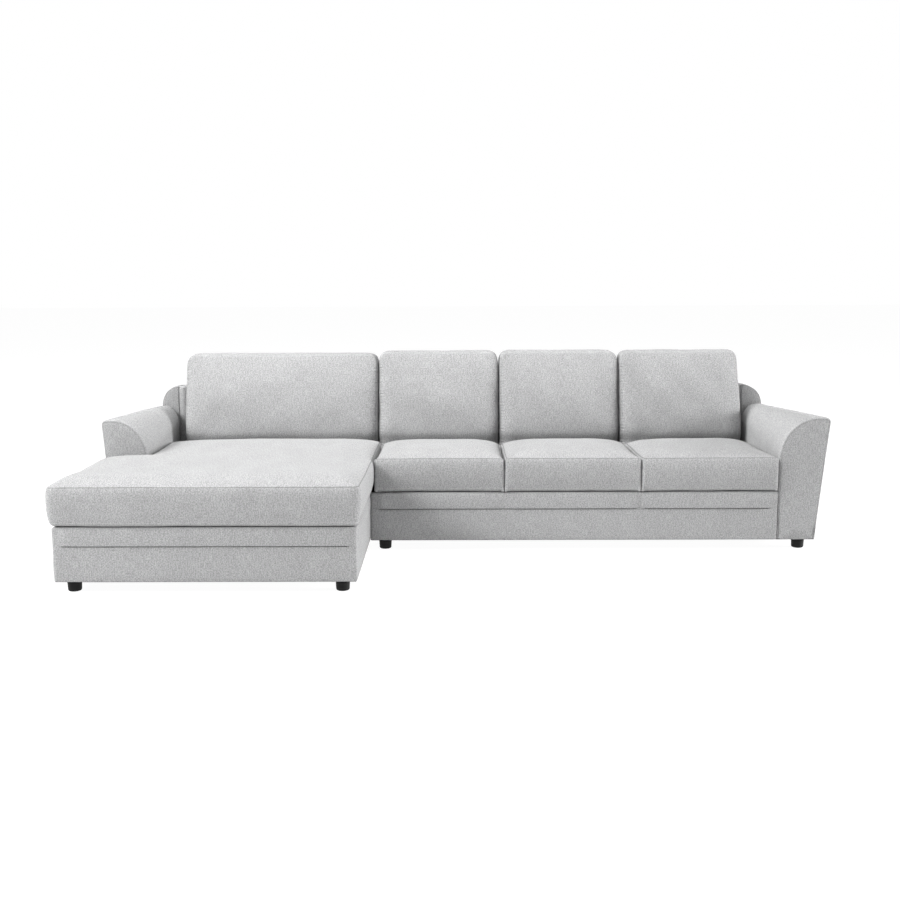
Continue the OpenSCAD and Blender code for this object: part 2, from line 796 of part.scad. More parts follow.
module corner_blocks() {
    color(timber_colour)
        for (p = feet_all)
            translate([p.x, p.y, z_base])
                difference() {
                    translate([-block_w / 2, -block_w / 2, 0]) cube([block_w, block_w, block_h]);
                    translate([0, 0, -over])
                        cylinder(h = block_h + 2 * over, d = bolt_d + 2 * bolt_clear, $fn = round_fn);
                }
}

// A turned foot with a rounded lower edge, a faint ring near its top and a blind bore for its bolt
foot_floor = 14;
module foot() {
    r = foot_d / 2;
    r_low = r - 2;
    edge = 7;
    ring_z = foot_h - 12;
    rotate_extrude($fn = 96)
        difference() {
            polygon(concat(
                [[0, 0]],
                arc(r_low - edge, edge, edge, edge, -90, 0, 6),
                [[r - 0.5, ring_z], [r - 1.5, ring_z + 1], [r, ring_z + 2], [r, foot_h], [0, foot_h]]
            ));
            translate([0, foot_floor]) square([bolt_d / 2 + bolt_clear, foot_h]);
        }
}
module feet() {
    color(black_colour)
        for (p = feet_all)
            translate([p.x, p.y, 0]) foot();
}
module foot_bolts() {
    z0 = foot_floor + 1;
    color(steel_colour)
        for (p = feet_all)
            translate([p.x, p.y, z0])
                cylinder(h = z_base + block_h + nut_t + 3 - z0, d = bolt_d, $fn = round_fn);
}

// A hexagon nut whose lower face lies at z = 0
module nut() {
    difference() {
        cylinder(h = nut_t, d = 1.8 * bolt_d, $fn = 6);
        translate([0, 0, -over]) cylinder(h = nut_t + 2 * over, d = bolt_d + 2 * bolt_clear, $fn = round_fn);
    }
}
module foot_nuts() {
    color(steel_colour)
        for (p = feet_all)
            translate([p.x, p.y, z_base + block_h]) nut();
}

// Puts its child at each frame bolt, with +Z along the bolt and z = 0 at the seat rail's inner face
module at_frame_bolts(arm_shift, back_shift) {
    for (y = left_bolts_y)
        translate([rail_t - arm_in - arm_shift, y, bolt_z]) rotate([0, -90, 0]) children();
    for (y = right_bolts_y)
        translate([arm_in - rail_t + arm_shift, y, bolt_z]) rotate([0, 90, 0]) children();
    for (x = concat(chaise_bolts_x, sofa_bolts_x))
        translate([x, y_back_face - rail_t + back_shift, bolt_z]) rotate([-90, 0, 0]) children();
}
module frame_bolts() {
    color(steel_colour)
        at_frame_bolts(0, 0) {
            union() {
                translate([0, 0, -nut_t]) cylinder(h = nut_t, d = head_d, $fn = round_fn);
                cylinder(h = 2 * rail_t + nut_t + 3, d = bolt_d, $fn = round_fn);
            }
        }
}
module frame_nuts() {
    color(steel_colour) at_frame_bolts(rail_t + ply_t, 2 * rail_t) nut();
}

// Steel plates under the bases that join the two units, and their screws
module link_plates() {
    reach = link_x + rail_t / 2;
    color(steel_colour)
        difference() {
            for (y = link_y)
                box(x_split - reach, x_split + reach, y - link_w / 2, y + link_w / 2,
                    foot_h - link_t, foot_h);
            link_bores(foot_h - link_t - over, foot_h + over);
        }
}
module link_screws() {
    head = 2.5;
    color(steel_colour)
        for (p = link_screws_at)
            translate([p.x, p.y, foot_h - link_t]) {
                translate([0, 0, -head]) cylinder(h = head, d = 2 * screw_d, $fn = round_fn);
                cylinder(h = link_t + dust_t + screw_len - 2, d = screw_d, $fn = round_fn);
            }
}

// Loose cushions. A cushion is a grid of points under a crown, with side walls that swell and draw in.
// Grid lines crowd together within ra and rb of the two ends.
function lines(a, b, ra, rb, gap) =
    concat([a, a + 0.4 * ra], spread(a + ra, b - rb, gap), [b - 0.4 * rb, b]);

// The grid's rim as [i, j], anticlockwise from above; cells with i < ni and j >= nj are left out
function rim(n, m, ni, nj) =
    concat(
        [for (i = [0 : n - 1]) [i, 0]],
        [for (j = [0 : m - 1]) [n, j]],
        [for (i = [n : -1 : ni + 1]) [i, m]],
        ni > 0 ? [for (j = [m : -1 : nj + 1]) [ni, j]] : [],
        ni > 0 ? [for (i = [ni : -1 : 1]) [i, nj]] : [],
        [for (j = [(ni > 0 ? nj : m) : -1 : 1]) [0, j]]
    );

// Moves a rim point near a corner [x, y, inward x sign, inward y sign, radius] onto that corner's arc
function eased(p, corners) =
    let (
        hits = [
            for (c = corners)
                let (
                    a = (p.x - c[0]) * c[2],
                    b = (p.y - c[1]) * c[3],
                    turn = 45 * (1 - max(a, b) / c[4]),
                    near = c[4] * (1 - cos(turn)),
                    far = c[4] * (1 - sin(turn))
                )
                if (abs(min(a, b)) < eps && max(a, b) < c[4])
                    [c[0] + c[2] * (a < b ? near : far), c[1] + c[3] * (a < b ? far : near)]
        ]
    )
    len(hits) > 0 ? hits[0] : p;

// side_rings holds [share of the height, outward distance] from the seam down to the underside
module cushion(xs, ys, top, z0, side_rings, corners, notch, place) {
    n = len(xs) - 1;
    m = len(ys) - 1;
    grid = [
        for (j = [0 : m])
            for (i = [0 : n])
                let (p = eased([xs[i], ys[j]], corners))
                    [p.x, p.y, top(xs[i], ys[j])]
    ];
    edge = [for (q = rim(n, m, notch[0], notch[1])) q[1] * (n + 1) + q[0]];
    count = len(edge);
    walls = [
        for (ring = side_rings)
            for (k = [0 : count - 1])
                let (
                    p = grid[edge[k]],
                    t = grid[edge[(k + 1) % count]] - grid[edge[(k + count - 1) % count]],
                    out = ring[1] / norm([t.x, t.y])
                )
                [p.x + t.y * out, p.y - t.x * out, mix(z0, p.z, ring[0])]
    ];
    loops = concat(
        [edge],
        [for (r = [0 : len(side_rings) - 1]) [for (k = [0 : count - 1]) len(grid) + r * count + k]]
    );
    faces = concat(
        [
            for (j = [0 : m - 1])
                for (i = [0 : n - 1])
                    let (a = j * (n + 1) + i, d = a + n + 1)
                        if (i >= notch[0] || j < notch[1])
                            each [[a, d, d + 1], [a, d + 1, a + 1]]
        ],
        [
            for (r = [0 : len(loops) - 2])
                for (k = [0 : count - 1])
                    let (l = (k + 1) % count, up = loops[r], low = loops[r + 1])
                        each [[up[k], up[l], low[l]], [up[k], low[l], low[k]]]
        ],
        [loops[len(loops) - 1]]
    );
    polyhedron(points = [for (p = concat(grid, walls)) place(p)], faces = faces, convexity = 6);
}

seat_wall = [[0.88, 0.5], [0.5, 1], [0.12, -0.4], [0.04, -1.7], [0, -3.2]];
seat_rings = [for (r = seat_wall) [r[0], r[1] * seat_bulge]];
seat_grid = 62;
chaise_grid = 90;

// A seat cushion between the limits x0 and x1; the chaise cushion also wraps in front of the left arm
module seat_cushion(x0, x1, y0) {
    a = x0 + seat_bulge;
    b = x1 - seat_bulge;
    c = y0 + seat_bulge;
    d = seat_rear - cushion_gap / 2 - seat_bulge;
    top = function (x, y)
        let (across = rise(min(x - a, b - x), crown_run))
            seam_z + seat_crown * across * rise(min(y - c, d - y), crown_run)
                - seat_dip * (1 - across) * (1 - exp(-(y - c) / dip_run));
    color(fabric_colour)
        difference() {
            cushion(lines(a, b, seat_r, seat_r, seat_grid), lines(c, d, seat_r, seat_r, seat_grid),
                top, z_cushion, seat_rings,
                [[a, c, 1, 1, seat_r], [b, c, -1, 1, seat_r], [b, d, -1, -1, seat_r], [a, d, 1, -1, seat_r]],
                [0, 0], function (p) p);
            seat_core(x0, x1, y0, play);
        }
}
core_bottom = z_cushion + foam_floor;
core_top = seam_z - foam_cap;
module seat_core(x0, x1, y0, grow) {
    m = foam_margin - grow;
    box(x0 + m, x1 - m, y0 + m, seat_rear - m, core_bottom - grow, core_top + grow);
}
module chaise_cushion_form() {
    a = x_left - front_over + seat_bulge;
    b = div_left - cushion_gap / 2 - seat_bulge;
    c = y_chaise - front_over + seat_bulge;
    d = seat_rear - cushion_gap / 2 - seat_bulge;
    xn = cushion_gap + seat_bulge - arm_in;
    yn = y_left_arm - cushion_gap - seat_bulge;
    left_lines = concat([a, a + 0.4 * seat_r], spread(a + seat_r, xn - 1, chaise_grid));
    front_lines = spread(c + seat_r, yn - seat_r, chaise_grid);
    low_lines = concat([c, c + 0.4 * seat_r], front_lines, [yn - 0.4 * seat_r]);
    right_lines = spread(xn + seat_r, b - seat_r, chaise_grid);
    high_lines = spread(yn + 2 * seat_r, d - seat_r, chaise_grid);
    xs = concat(left_lines, [xn, xn + 0.4 * seat_r], right_lines, [b - 0.4 * seat_r, b]);
    ys = concat(low_lines, [yn], high_lines, [d - 0.4 * seat_r, d]);
    top = function (x, y)
        let (
            left = max(rise(x - a, crown_run) * rise(yn - y, crown_run), rise(x - xn, crown_run)),
            across = left * rise(b - x, crown_run)
        )
        seam_z + seat_crown * across * rise(min(y - c, d - y), crown_run)
            - chaise_dip * (1 - across) * (1 - exp(-(y - c) / dip_run));
    cushion(xs, ys, top, z_cushion, seat_rings,
        [
            [a, c, 1, 1, seat_r], [b, c, -1, 1, seat_r], [b, d, -1, -1, seat_r],
            [xn, d, 1, -1, seat_r], [a, yn, 1, -1, seat_r]
        ],
        [len(left_lines), len(low_lines)], function (p) p);
}
module chaise_core(grow) {
    m = foam_margin - grow;
    x0 = x_left - front_over + m;
    xn = m - arm_in;
    x1 = div_left - m;
    y0 = y_chaise - front_over + m;
    yn = y_left_arm - m;
    y1 = seat_rear - m;
    translate([0, 0, core_bottom - grow])
        linear_extrude(core_top - core_bottom + 2 * grow)
            polygon([[x0, y0], [x1, y0], [x1, y1], [xn, y1], [xn, yn], [x0, yn]]);
}
module chaise_seat_cushion() {
    color(fabric_colour)
        difference() {
            chaise_cushion_form();
            chaise_core(play);
        }
}
module chaise_seat_foam() {
    color(foam_colour) chaise_core(0);
}

half_gap = cushion_gap / 2;
y_seat_front = y_front - front_over;
module left_seat_cushion() {
    seat_cushion(div_left + half_gap, div_middle - half_gap, y_seat_front);
}
module left_seat_foam() {
    color(foam_colour) seat_core(div_left + half_gap, div_middle - half_gap, y_seat_front, 0);
}
module middle_seat_cushion() {
    seat_cushion(div_middle + half_gap, div_right - half_gap, y_seat_front);
}
module middle_seat_foam() {
    color(foam_colour) seat_core(div_middle + half_gap, div_right - half_gap, y_seat_front, 0);
}
module right_seat_cushion() {
    seat_cushion(div_right + half_gap, arm_in - cushion_gap, y_seat_front);
}
module right_seat_foam() {
    color(foam_colour) seat_core(div_right + half_gap, arm_in - cushion_gap, y_seat_front, 0);
}

// A back cushion stands on the deck behind the seat cushion and leans on the raked back.
// Its grid lies in its front face: x across and y up it, its thickness measured forward from the back.
back_rings = [for (r = [[0.86, 0.5], [0.5, 1], [0.14, 0.5], [0, -0.6]]) [r[0], r[1] * back_bulge]];
back_grid = 64;
back_foot = z_cushion + back_bulge;
back_h = back_cushion_top - back_bulge - back_foot;
module back_cushion(x0, x1) {
    a = x0 + back_bulge;
    b = x1 - back_bulge;
    top = function (x, h)
        let (
            z = back_foot + h,
            full = rise(min(x - a, b - x), back_crown_run) * rise(min(h, back_h - h), back_crown_run)
        )
        back_plane(z) - cushion_gap - front_line(z) - back_crown * (1 - full);
    color(fabric_colour)
        difference() {
            cushion(lines(a, b, back_r, back_r, back_grid), lines(0, back_h, back_foot_r, back_r, back_grid),
                top, 0, back_rings,
                [
                    [a, 0, 1, 1, back_foot_r], [b, 0, -1, 1, back_foot_r],
                    [b, back_h, -1, -1, back_r], [a, back_h, 1, -1, back_r]
                ],
                [0, 0],
                function (p) [p.x, back_plane(back_foot + p.y) - cushion_gap - p.z, back_foot + p.y]);
            back_core(x0, x1, play);
        }
}
module back_core(x0, x1, grow) {
    m = foam_margin - grow;
    z0 = back_foot + m;
    z1 = back_foot + back_h - back_r + grow;
    front = back_crown + foam_front - grow;
    rear = cushion_gap + foam_rear - grow;
    along_x(x0 + m, x1 - m, [
        [front_line(z0) + front, z0], [front_line(front_bend) + front, front_bend],
        [front_line(z1) + front, z1],
        [back_plane(z1) - rear, z1], [back_plane(z0) - rear, z0]
    ]);
}
module chaise_back_cushion() {
    back_cushion(back_left_end, x_split - half_gap);
}
module chaise_back_foam() {
    color(foam_colour) back_core(back_left_end, x_split - half_gap, 0);
}
module left_back_cushion() {
    back_cushion(x_split + half_gap, x_split + back_w - half_gap);
}
module left_back_foam() {
    color(foam_colour) back_core(x_split + half_gap, x_split + back_w - half_gap, 0);
}
module middle_back_cushion() {
    back_cushion(x_split + back_w + half_gap, x_split + 2 * back_w - half_gap);
}
module middle_back_foam() {
    color(foam_colour) back_core(x_split + back_w + half_gap, x_split + 2 * back_w - half_gap, 0);
}
module right_back_cushion() {
    back_cushion(x_split + 2 * back_w + half_gap, back_end);
}
module right_back_foam() {
    color(foam_colour) back_core(x_split + 2 * back_w + half_gap, back_end, 0);
}

chaise_seat_frame();
chaise_springs();
chaise_spring_clips();
chaise_deck_pad();
chaise_base_cover();
chaise_dust_cover();
left_arm_frame();
left_arm_cover();
left_wing_cover();
chaise_back_frame();
chaise_back_webbing();
chaise_back_cover();
sofa_seat_frame();
sofa_springs();
sofa_spring_clips();
sofa_deck_pad();
sofa_base_cover();
sofa_dust_cover();
right_arm_frame();
right_arm_cover();
right_wing_cover();
sofa_back_frame();
sofa_back_webbing();
sofa_back_cover();
corner_blocks();
feet();
foot_bolts();
foot_nuts();
frame_bolts();
frame_nuts();
link_plates();
link_screws();
chaise_seat_cushion();
chaise_seat_foam();
left_seat_cushion();
left_seat_foam();
middle_seat_cushion();
middle_seat_foam();
right_seat_cushion();
right_seat_foam();
chaise_back_cushion();
chaise_back_foam();
left_back_cushion();
left_back_foam();
middle_back_cushion();
middle_back_foam();
right_back_cushion();
right_back_foam();
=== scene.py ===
"""A corner sofa in pale woven fabric: a chaise on the left, three seats on the right, eight loose cushions.

Metres, Z up, the front faces -Y, and the origin is on the floor in the middle of the sofa.
"""

import logging
import math
from dataclasses import dataclass, field
from enum import Enum
from typing import Callable, Sequence

import bmesh
import bpy
import numpy as np
from mathutils import Matrix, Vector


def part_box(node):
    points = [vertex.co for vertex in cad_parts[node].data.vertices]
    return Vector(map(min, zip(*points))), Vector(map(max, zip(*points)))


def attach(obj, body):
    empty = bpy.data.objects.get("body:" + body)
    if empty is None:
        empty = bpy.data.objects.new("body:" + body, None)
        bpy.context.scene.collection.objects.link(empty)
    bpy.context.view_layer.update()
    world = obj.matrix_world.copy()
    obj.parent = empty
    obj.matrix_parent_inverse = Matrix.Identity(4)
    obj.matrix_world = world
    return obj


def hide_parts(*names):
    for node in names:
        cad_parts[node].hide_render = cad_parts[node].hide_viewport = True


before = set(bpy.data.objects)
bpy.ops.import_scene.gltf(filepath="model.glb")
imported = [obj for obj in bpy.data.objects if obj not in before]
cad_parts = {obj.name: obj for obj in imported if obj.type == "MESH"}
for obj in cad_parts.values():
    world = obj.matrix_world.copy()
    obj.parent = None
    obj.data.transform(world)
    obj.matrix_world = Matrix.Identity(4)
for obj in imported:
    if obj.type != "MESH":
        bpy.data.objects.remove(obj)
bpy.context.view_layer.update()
log = logging.getLogger("sofa")

Grid = np.ndarray
Piece = bpy.types.Object
Socket = bpy.types.NodeSocket
Material = bpy.types.Material
Colour = tuple[float, float, float, float]
Spot = tuple[float, float]


class Slot(Enum):
    """The finishes that can be told apart on the dressed pieces."""

    UPHOLSTERY = "upholstery"
    STEEL = "steel"
    FOAM = "foam"
    BLACK_CLOTH = "black_cloth"
    WEBBING = "webbing"


class Fastening(Enum):
    """What is set along a line: thread stitches or steel staples."""

    STITCH = "stitch"
    STAPLE = "staple"


@dataclass(frozen=True)
class Plan:
    """The sizes that the sub-assemblies share, in metres."""

    left: float = -1.5905
    right: float = 1.5905
    chaise_right: float = -0.4015
    sofa_left: float = -0.3995
    back: float = 0.8225
    front: float = -0.1075
    chaise_front: float = -0.8075
    back_face: float = 0.6475
    arm_in: float = 1.416
    left_arm: float = 0.0025
    step: float = 0.002
    base_foot: float = 0.049
    base_top: float = 0.267
    deck_foot: float = 0.2356
    rail_top: float = 0.226
    seat_rear: float = 0.4565
    seat_foot: float = 0.2675
    seam: float = 0.423
    crown: float = 0.018
    bend: float = 0.436
    back_top: float = 0.674
    rake: float = 0.050
    division_left: float = -0.3805
    division_middle: float = 0.200
    division_right: float = 0.808
    skin: float = 0.012
    gap: float = 0.0005
    clear: float = 0.001

    def back_plane(self, z: Grid) -> Grid:
        """Front face of the backs, as y at the heights z."""
        return self.back_face + self.rake * np.maximum(0, z - self.base_top) / (self.back_top - self.base_top)

    def front_line(self, z: Grid) -> Grid:
        """Fullest line of the back cushions' front faces, as y at the heights z."""
        return self.seat_rear + self.gap + np.maximum(0, z - self.bend) * math.tan(math.radians(11))


PLAN = Plan()


def rise(distance: Grid, run: float, power: float = 2.2) -> Grid:
    """Height of a crown from 0 to 1, at distances inside its seam."""
    return 1 - (1 - np.clip(distance / run, 0, 1)) ** power


def spread(start: float, end: float, step: float) -> list[float]:
    """Evenly spaced places from start to end, about a step apart, both ends included."""
    count = max(1, round(abs(end - start) / step))
    return [start + (end - start) * i / count for i in range(count + 1)]


# Distances from a stop at which the grid lines beside it lie
EDGE_STEPS = (0.0, 0.003, 0.008, 0.016, 0.027)


def grid_lines(stops: Sequence[float], step: float) -> Grid:
    """Grid lines through the stops, which crowd together beside each stop.

    Args:
        stops: Places of the seams and corners, in rising order.
        step: Aimed distance between two lines away from the stops.

    Returns:
        The places of all lines, in rising order.
    """
    places: list[float] = []
    for a, b in zip(stops[:-1], stops[1:]):
        low = [a + e for e in EDGE_STEPS]
        high = [b - e for e in reversed(EDGE_STEPS)]
        places += low[:-1] + spread(low[-1], high[0], step) + high[1:-1]
    return np.array(places + [stops[-1]])


def hung(name: str, data: bpy.types.ID) -> Piece:
    """Makes an object of a mesh, a camera or a lamp, and links it to the scene."""
    thing = bpy.data.objects.new(name, data)
    bpy.context.scene.collection.objects.link(thing)
    return thing


def add_piece(name: str, points: Sequence, faces: Sequence, edges: Sequence = ()) -> Piece:
    """Makes a mesh piece at the origin."""
    mesh = bpy.data.meshes.new(name)
    mesh.from_pydata([tuple(p) for p in points], edges, faces)
    mesh.update()
    return hung(name, mesh)


def swept_faces(rows: int, ring: int, start: int = 0) -> list[list[int]]:
    """Faces of a closed sweep with a cap at each end.

    Args:
        rows: How many rings of points it has.
        ring: How many points each ring has.
        start: Number of its first point.

    Returns:
        The faces, as lists of point numbers.
    """
    last = start + (rows - 1) * ring
    faces = [[start + k for k in range(ring)], [last + k for k in reversed(range(ring))]]
    for j in range(rows - 1):
        for i in range(ring):
            a, b = start + j * ring + i, start + j * ring + (i + 1) % ring
            faces.append([a, b, b + ring, a + ring])
    return faces


def close_up(piece: Piece, weld: float = 0.0) -> None:
    """Turns all faces outwards and smooths them.

    Args:
        piece: The mesh piece.
        weld: Distance within which points are merged first, or 0 for none.
    """
    mesh = bmesh.new()
    mesh.from_mesh(piece.data)
    if weld:
        bmesh.ops.remove_doubles(mesh, verts=mesh.verts, dist=weld)
        bmesh.ops.dissolve_degenerate(mesh, dist=weld / 2, edges=mesh.edges)
    bmesh.ops.recalc_face_normals(mesh, faces=mesh.faces)
    for face in mesh.faces:
        face.smooth = True
    mesh.to_mesh(piece.data)
    mesh.free()


def points_of(piece: Piece) -> Grid:
    """The piece's points as an array."""
    places = np.empty(3 * len(piece.data.vertices))
    piece.data.vertices.foreach_get("co", places)
    return places.reshape(-1, 3)


def set_points(piece: Piece, places: Grid) -> None:
    """Moves the piece's points to new places."""
    piece.data.vertices.foreach_set("co", np.asarray(places, float).ravel())
    piece.data.update()


def normals_of(piece: Piece) -> Grid:
    """The piece's point normals as an array."""
    normals = np.empty(3 * len(piece.data.vertices))
    piece.data.vertex_normals.foreach_get("vector", normals)
    return normals.reshape(-1, 3)


def lay_cloth(piece: Piece) -> None:
    """Gives each face a cloth layout in metres, laid on from the side that the face looks to most."""
    mesh = piece.data
    layer = mesh.uv_layers.new(name="cloth")
    places = points_of(piece)
    corners = np.empty(len(mesh.loops), int)
    mesh.loops.foreach_get("vertex_index", corners)
    facing = np.empty(3 * len(mesh.polygons))
    mesh.polygons.foreach_get("normal", facing)
    totals = np.empty(len(mesh.polygons), int)
    mesh.polygons.foreach_get("loop_total", totals)
    upward_first = (1.0, 1.0, 1.05)
    side = np.repeat(np.argmax(np.abs(facing.reshape(-1, 3)) * upward_first, axis=1), totals)
    p = places[corners]
    across = np.where(side == 0, p[:, 1], p[:, 0])
    along = np.where(side == 2, p[:, 1], p[:, 2])
    layer.data.foreach_set("uv", np.column_stack((across, along)).ravel())


def mark_seams(piece: Piece, seams: Sequence[Grid], reach: float = 0.08) -> Grid:
    """Stores each point's distance to the nearest seam, and its place along that seam.

    Args:
        piece: The mesh piece.
        seams: Lines of points that the seams follow.
        reach: The longest distance that is told apart.

    Returns:
        The distance of each point.
    """
    places = points_of(piece)
    best = np.full(len(places), reach)
    along = np.zeros(len(places))
    start = 0.0
    for seam in seams:
        low = seam.min(axis=0) - reach
        high = seam.max(axis=0) + reach
        near = np.flatnonzero(np.all((places > low) & (places < high), axis=1))
        spot = places[near]
        for a, b in zip(seam[:-1], seam[1:]):
            run = b - a
            length = float(np.linalg.norm(run))
            if length < 1e-7:
                continue
            share = np.clip((spot - a) @ run / length**2, 0, 1)
            gap = np.linalg.norm(spot - a - share[:, None] * run, axis=1)
            closer = gap < best[near]
            best[near[closer]] = gap[closer]
            along[near[closer]] = start + share[closer] * length
            start += length
    for name, values in (("seam_gap", best), ("seam_run", along)):
        attribute = piece.data.attributes.new(name, "FLOAT", "POINT")
        attribute.data.foreach_set("value", values.astype(np.float32))
    return best


def draw_in(piece: Piece, gap: Grid, fine: float, broad: float) -> None:
    """Draws the cloth in along its seams, sharply beside them and gently further out."""
    fine_run, broad_run = 0.005, 0.035
    depth = fine * np.exp(-gap / fine_run) + broad * np.exp(-((gap / broad_run) ** 2))
    set_points(piece, points_of(piece) - normals_of(piece) * depth[:, None])


# Usual height of the seven waves of a ripple taken together
RIPPLE_SUM = 2.6


def ripple(piece: Piece, height: float, length: float, seed: int) -> None:
    """Makes a surface slightly uneven, as hand-filled upholstery is."""
    random = np.random.default_rng(seed)
    places = points_of(piece)
    total = np.zeros(len(places))
    waves = 7
    for _ in range(waves):
        wave = random.normal(size=3)
        wave *= 2 * math.pi / (length * random.uniform(0.6, 1.6) * np.linalg.norm(wave))
        total += np.sin(places @ wave + random.uniform(0, 2 * math.pi))
    set_points(piece, places + normals_of(piece) * (height * total / RIPPLE_SUM)[:, None])


class Graph:
    """The nodes of a material or a world, built one after another."""

    def __init__(self, name: str, world: bool = False) -> None:
        """Makes an empty material, or an empty world."""
        self.owner = (bpy.data.worlds if world else bpy.data.materials).new(name)
        self.owner.use_nodes = True
        self.tree = self.owner.node_tree
        self.tree.nodes.clear()

    def add(self, kind: str, inputs: dict | None = None, **settings: object) -> bpy.types.Node:
        """Adds a node.

        Args:
            kind: The node's type, without its common first word.
            inputs: Values or sockets for its inputs, by name or place.
            settings: Options of the node.

        Returns:
            The new node.
        """
        node = self.tree.nodes.new("ShaderNode" + kind)
        for option, value in settings.items():
            setattr(node, option, value)
        for key, value in (inputs or {}).items():
            if isinstance(value, Socket):
                self.tree.links.new(value, node.inputs[key])
            else:
                node.inputs[key].default_value = value
        return node

    def math(self, operation: str, *values: float | Socket) -> Socket:
        """Result of a sum on numbers and sockets."""
        return self.add("Math", dict(enumerate(values)), operation=operation).outputs[0]

    def weighted(self, *parts: tuple[Socket, float]) -> Socket:
        """Sum of values, each times its weight."""
        total = self.math("MULTIPLY", *parts[0])
        for part in parts[1:]:
            total = self.math("ADD", total, self.math("MULTIPLY", *part))
        return total

    def noise(self, vector: Socket, scale: float, detail: float = 2.0, rough: float = 0.5) -> Socket:
        """Value of a noise pattern."""
        inputs = {"Vector": vector, "Scale": scale, "Detail": detail, "Roughness": rough}
        return self.add("TexNoise", inputs).outputs[0]

    def stretched(self, vector: Socket, scale: tuple[float, float, float]) -> Socket:
        """Coordinates scaled by a factor along each axis."""
        return self.add("Mapping", {"Vector": vector, "Scale": scale}).outputs[0]

    def ramp(self, value: Socket, low: float, high: float, first: float, last: float) -> Socket:
        """A value taken from one range to another, and kept inside it."""
        inputs = {"Value": value, "From Min": low, "From Max": high, "To Min": first, "To Max": last}
        return self.add("MapRange", inputs).outputs[0]

    def blend(self, share: Socket | float, a: tuple | Socket, b: tuple | Socket, mode: str = "MIX") -> Socket:
        """Mix of two colours."""
        node = self.add("Mix", data_type="RGBA", blend_type=mode)
        for place, value in ((0, share), (6, a), (7, b)):
            if isinstance(value, Socket):
                self.tree.links.new(value, node.inputs[place])
            else:
                node.inputs[place].default_value = value
        return node.outputs[2]

    def shaded(self, colour: Socket, factor: Socket) -> Socket:
        """A colour times a plain factor."""
        even = self.add("CombineColor", {0: factor, 1: factor, 2: factor}).outputs[0]
        return self.blend(1.0, colour, even, "MULTIPLY")

    def seen(self) -> Socket:
        """1 where a ray comes from the camera, straight, mirrored or through glass, and 0 elsewhere."""
        rays = self.add("LightPath").outputs
        seen = self.math("MAXIMUM", rays["Is Camera Ray"], rays["Is Glossy Ray"])
        return self.math("MAXIMUM", seen, rays["Is Transmission Ray"])

    def bump(self, height: Socket, distance: float, under: Socket | None = None) -> Socket:
        """Normal of a relief, on top of another where one is given."""
        inputs = {"Height": height, "Distance": distance, "Strength": 1.0}
        if under is not None:
            inputs["Normal"] = under
        return self.add("Bump", inputs).outputs[0]

    def close(self, shader: bpy.types.Node, output: str = "OutputMaterial") -> Material | bpy.types.World:
        """Leads a shader to the output and returns what the nodes belong to."""
        self.tree.links.new(shader.outputs[0], self.add(output).inputs[0])
        return self.owner

    def finish(self, inputs: dict) -> Material:
        """Adds the surface shader with these inputs and returns the material."""
        return self.close(self.add("BsdfPrincipled", inputs))


def grey(level: float, tint: tuple[float, float, float] = (1.0, 1.0, 1.0)) -> Colour:
    """A linear colour from a screen level between 0 and 1, times a tint."""
    linear = ((level + 0.055) / 1.055) ** 2.4
    return (linear * tint[0], linear * tint[1], linear * tint[2], 1.0)


def toned(colour: Colour, factor: float, lift: float = 0.0) -> Colour:
    """A colour made darker or paler by a factor, and lifted a little."""
    return tuple(min(1.0, factor * c + lift) for c in colour[:3]) + (1.0,)


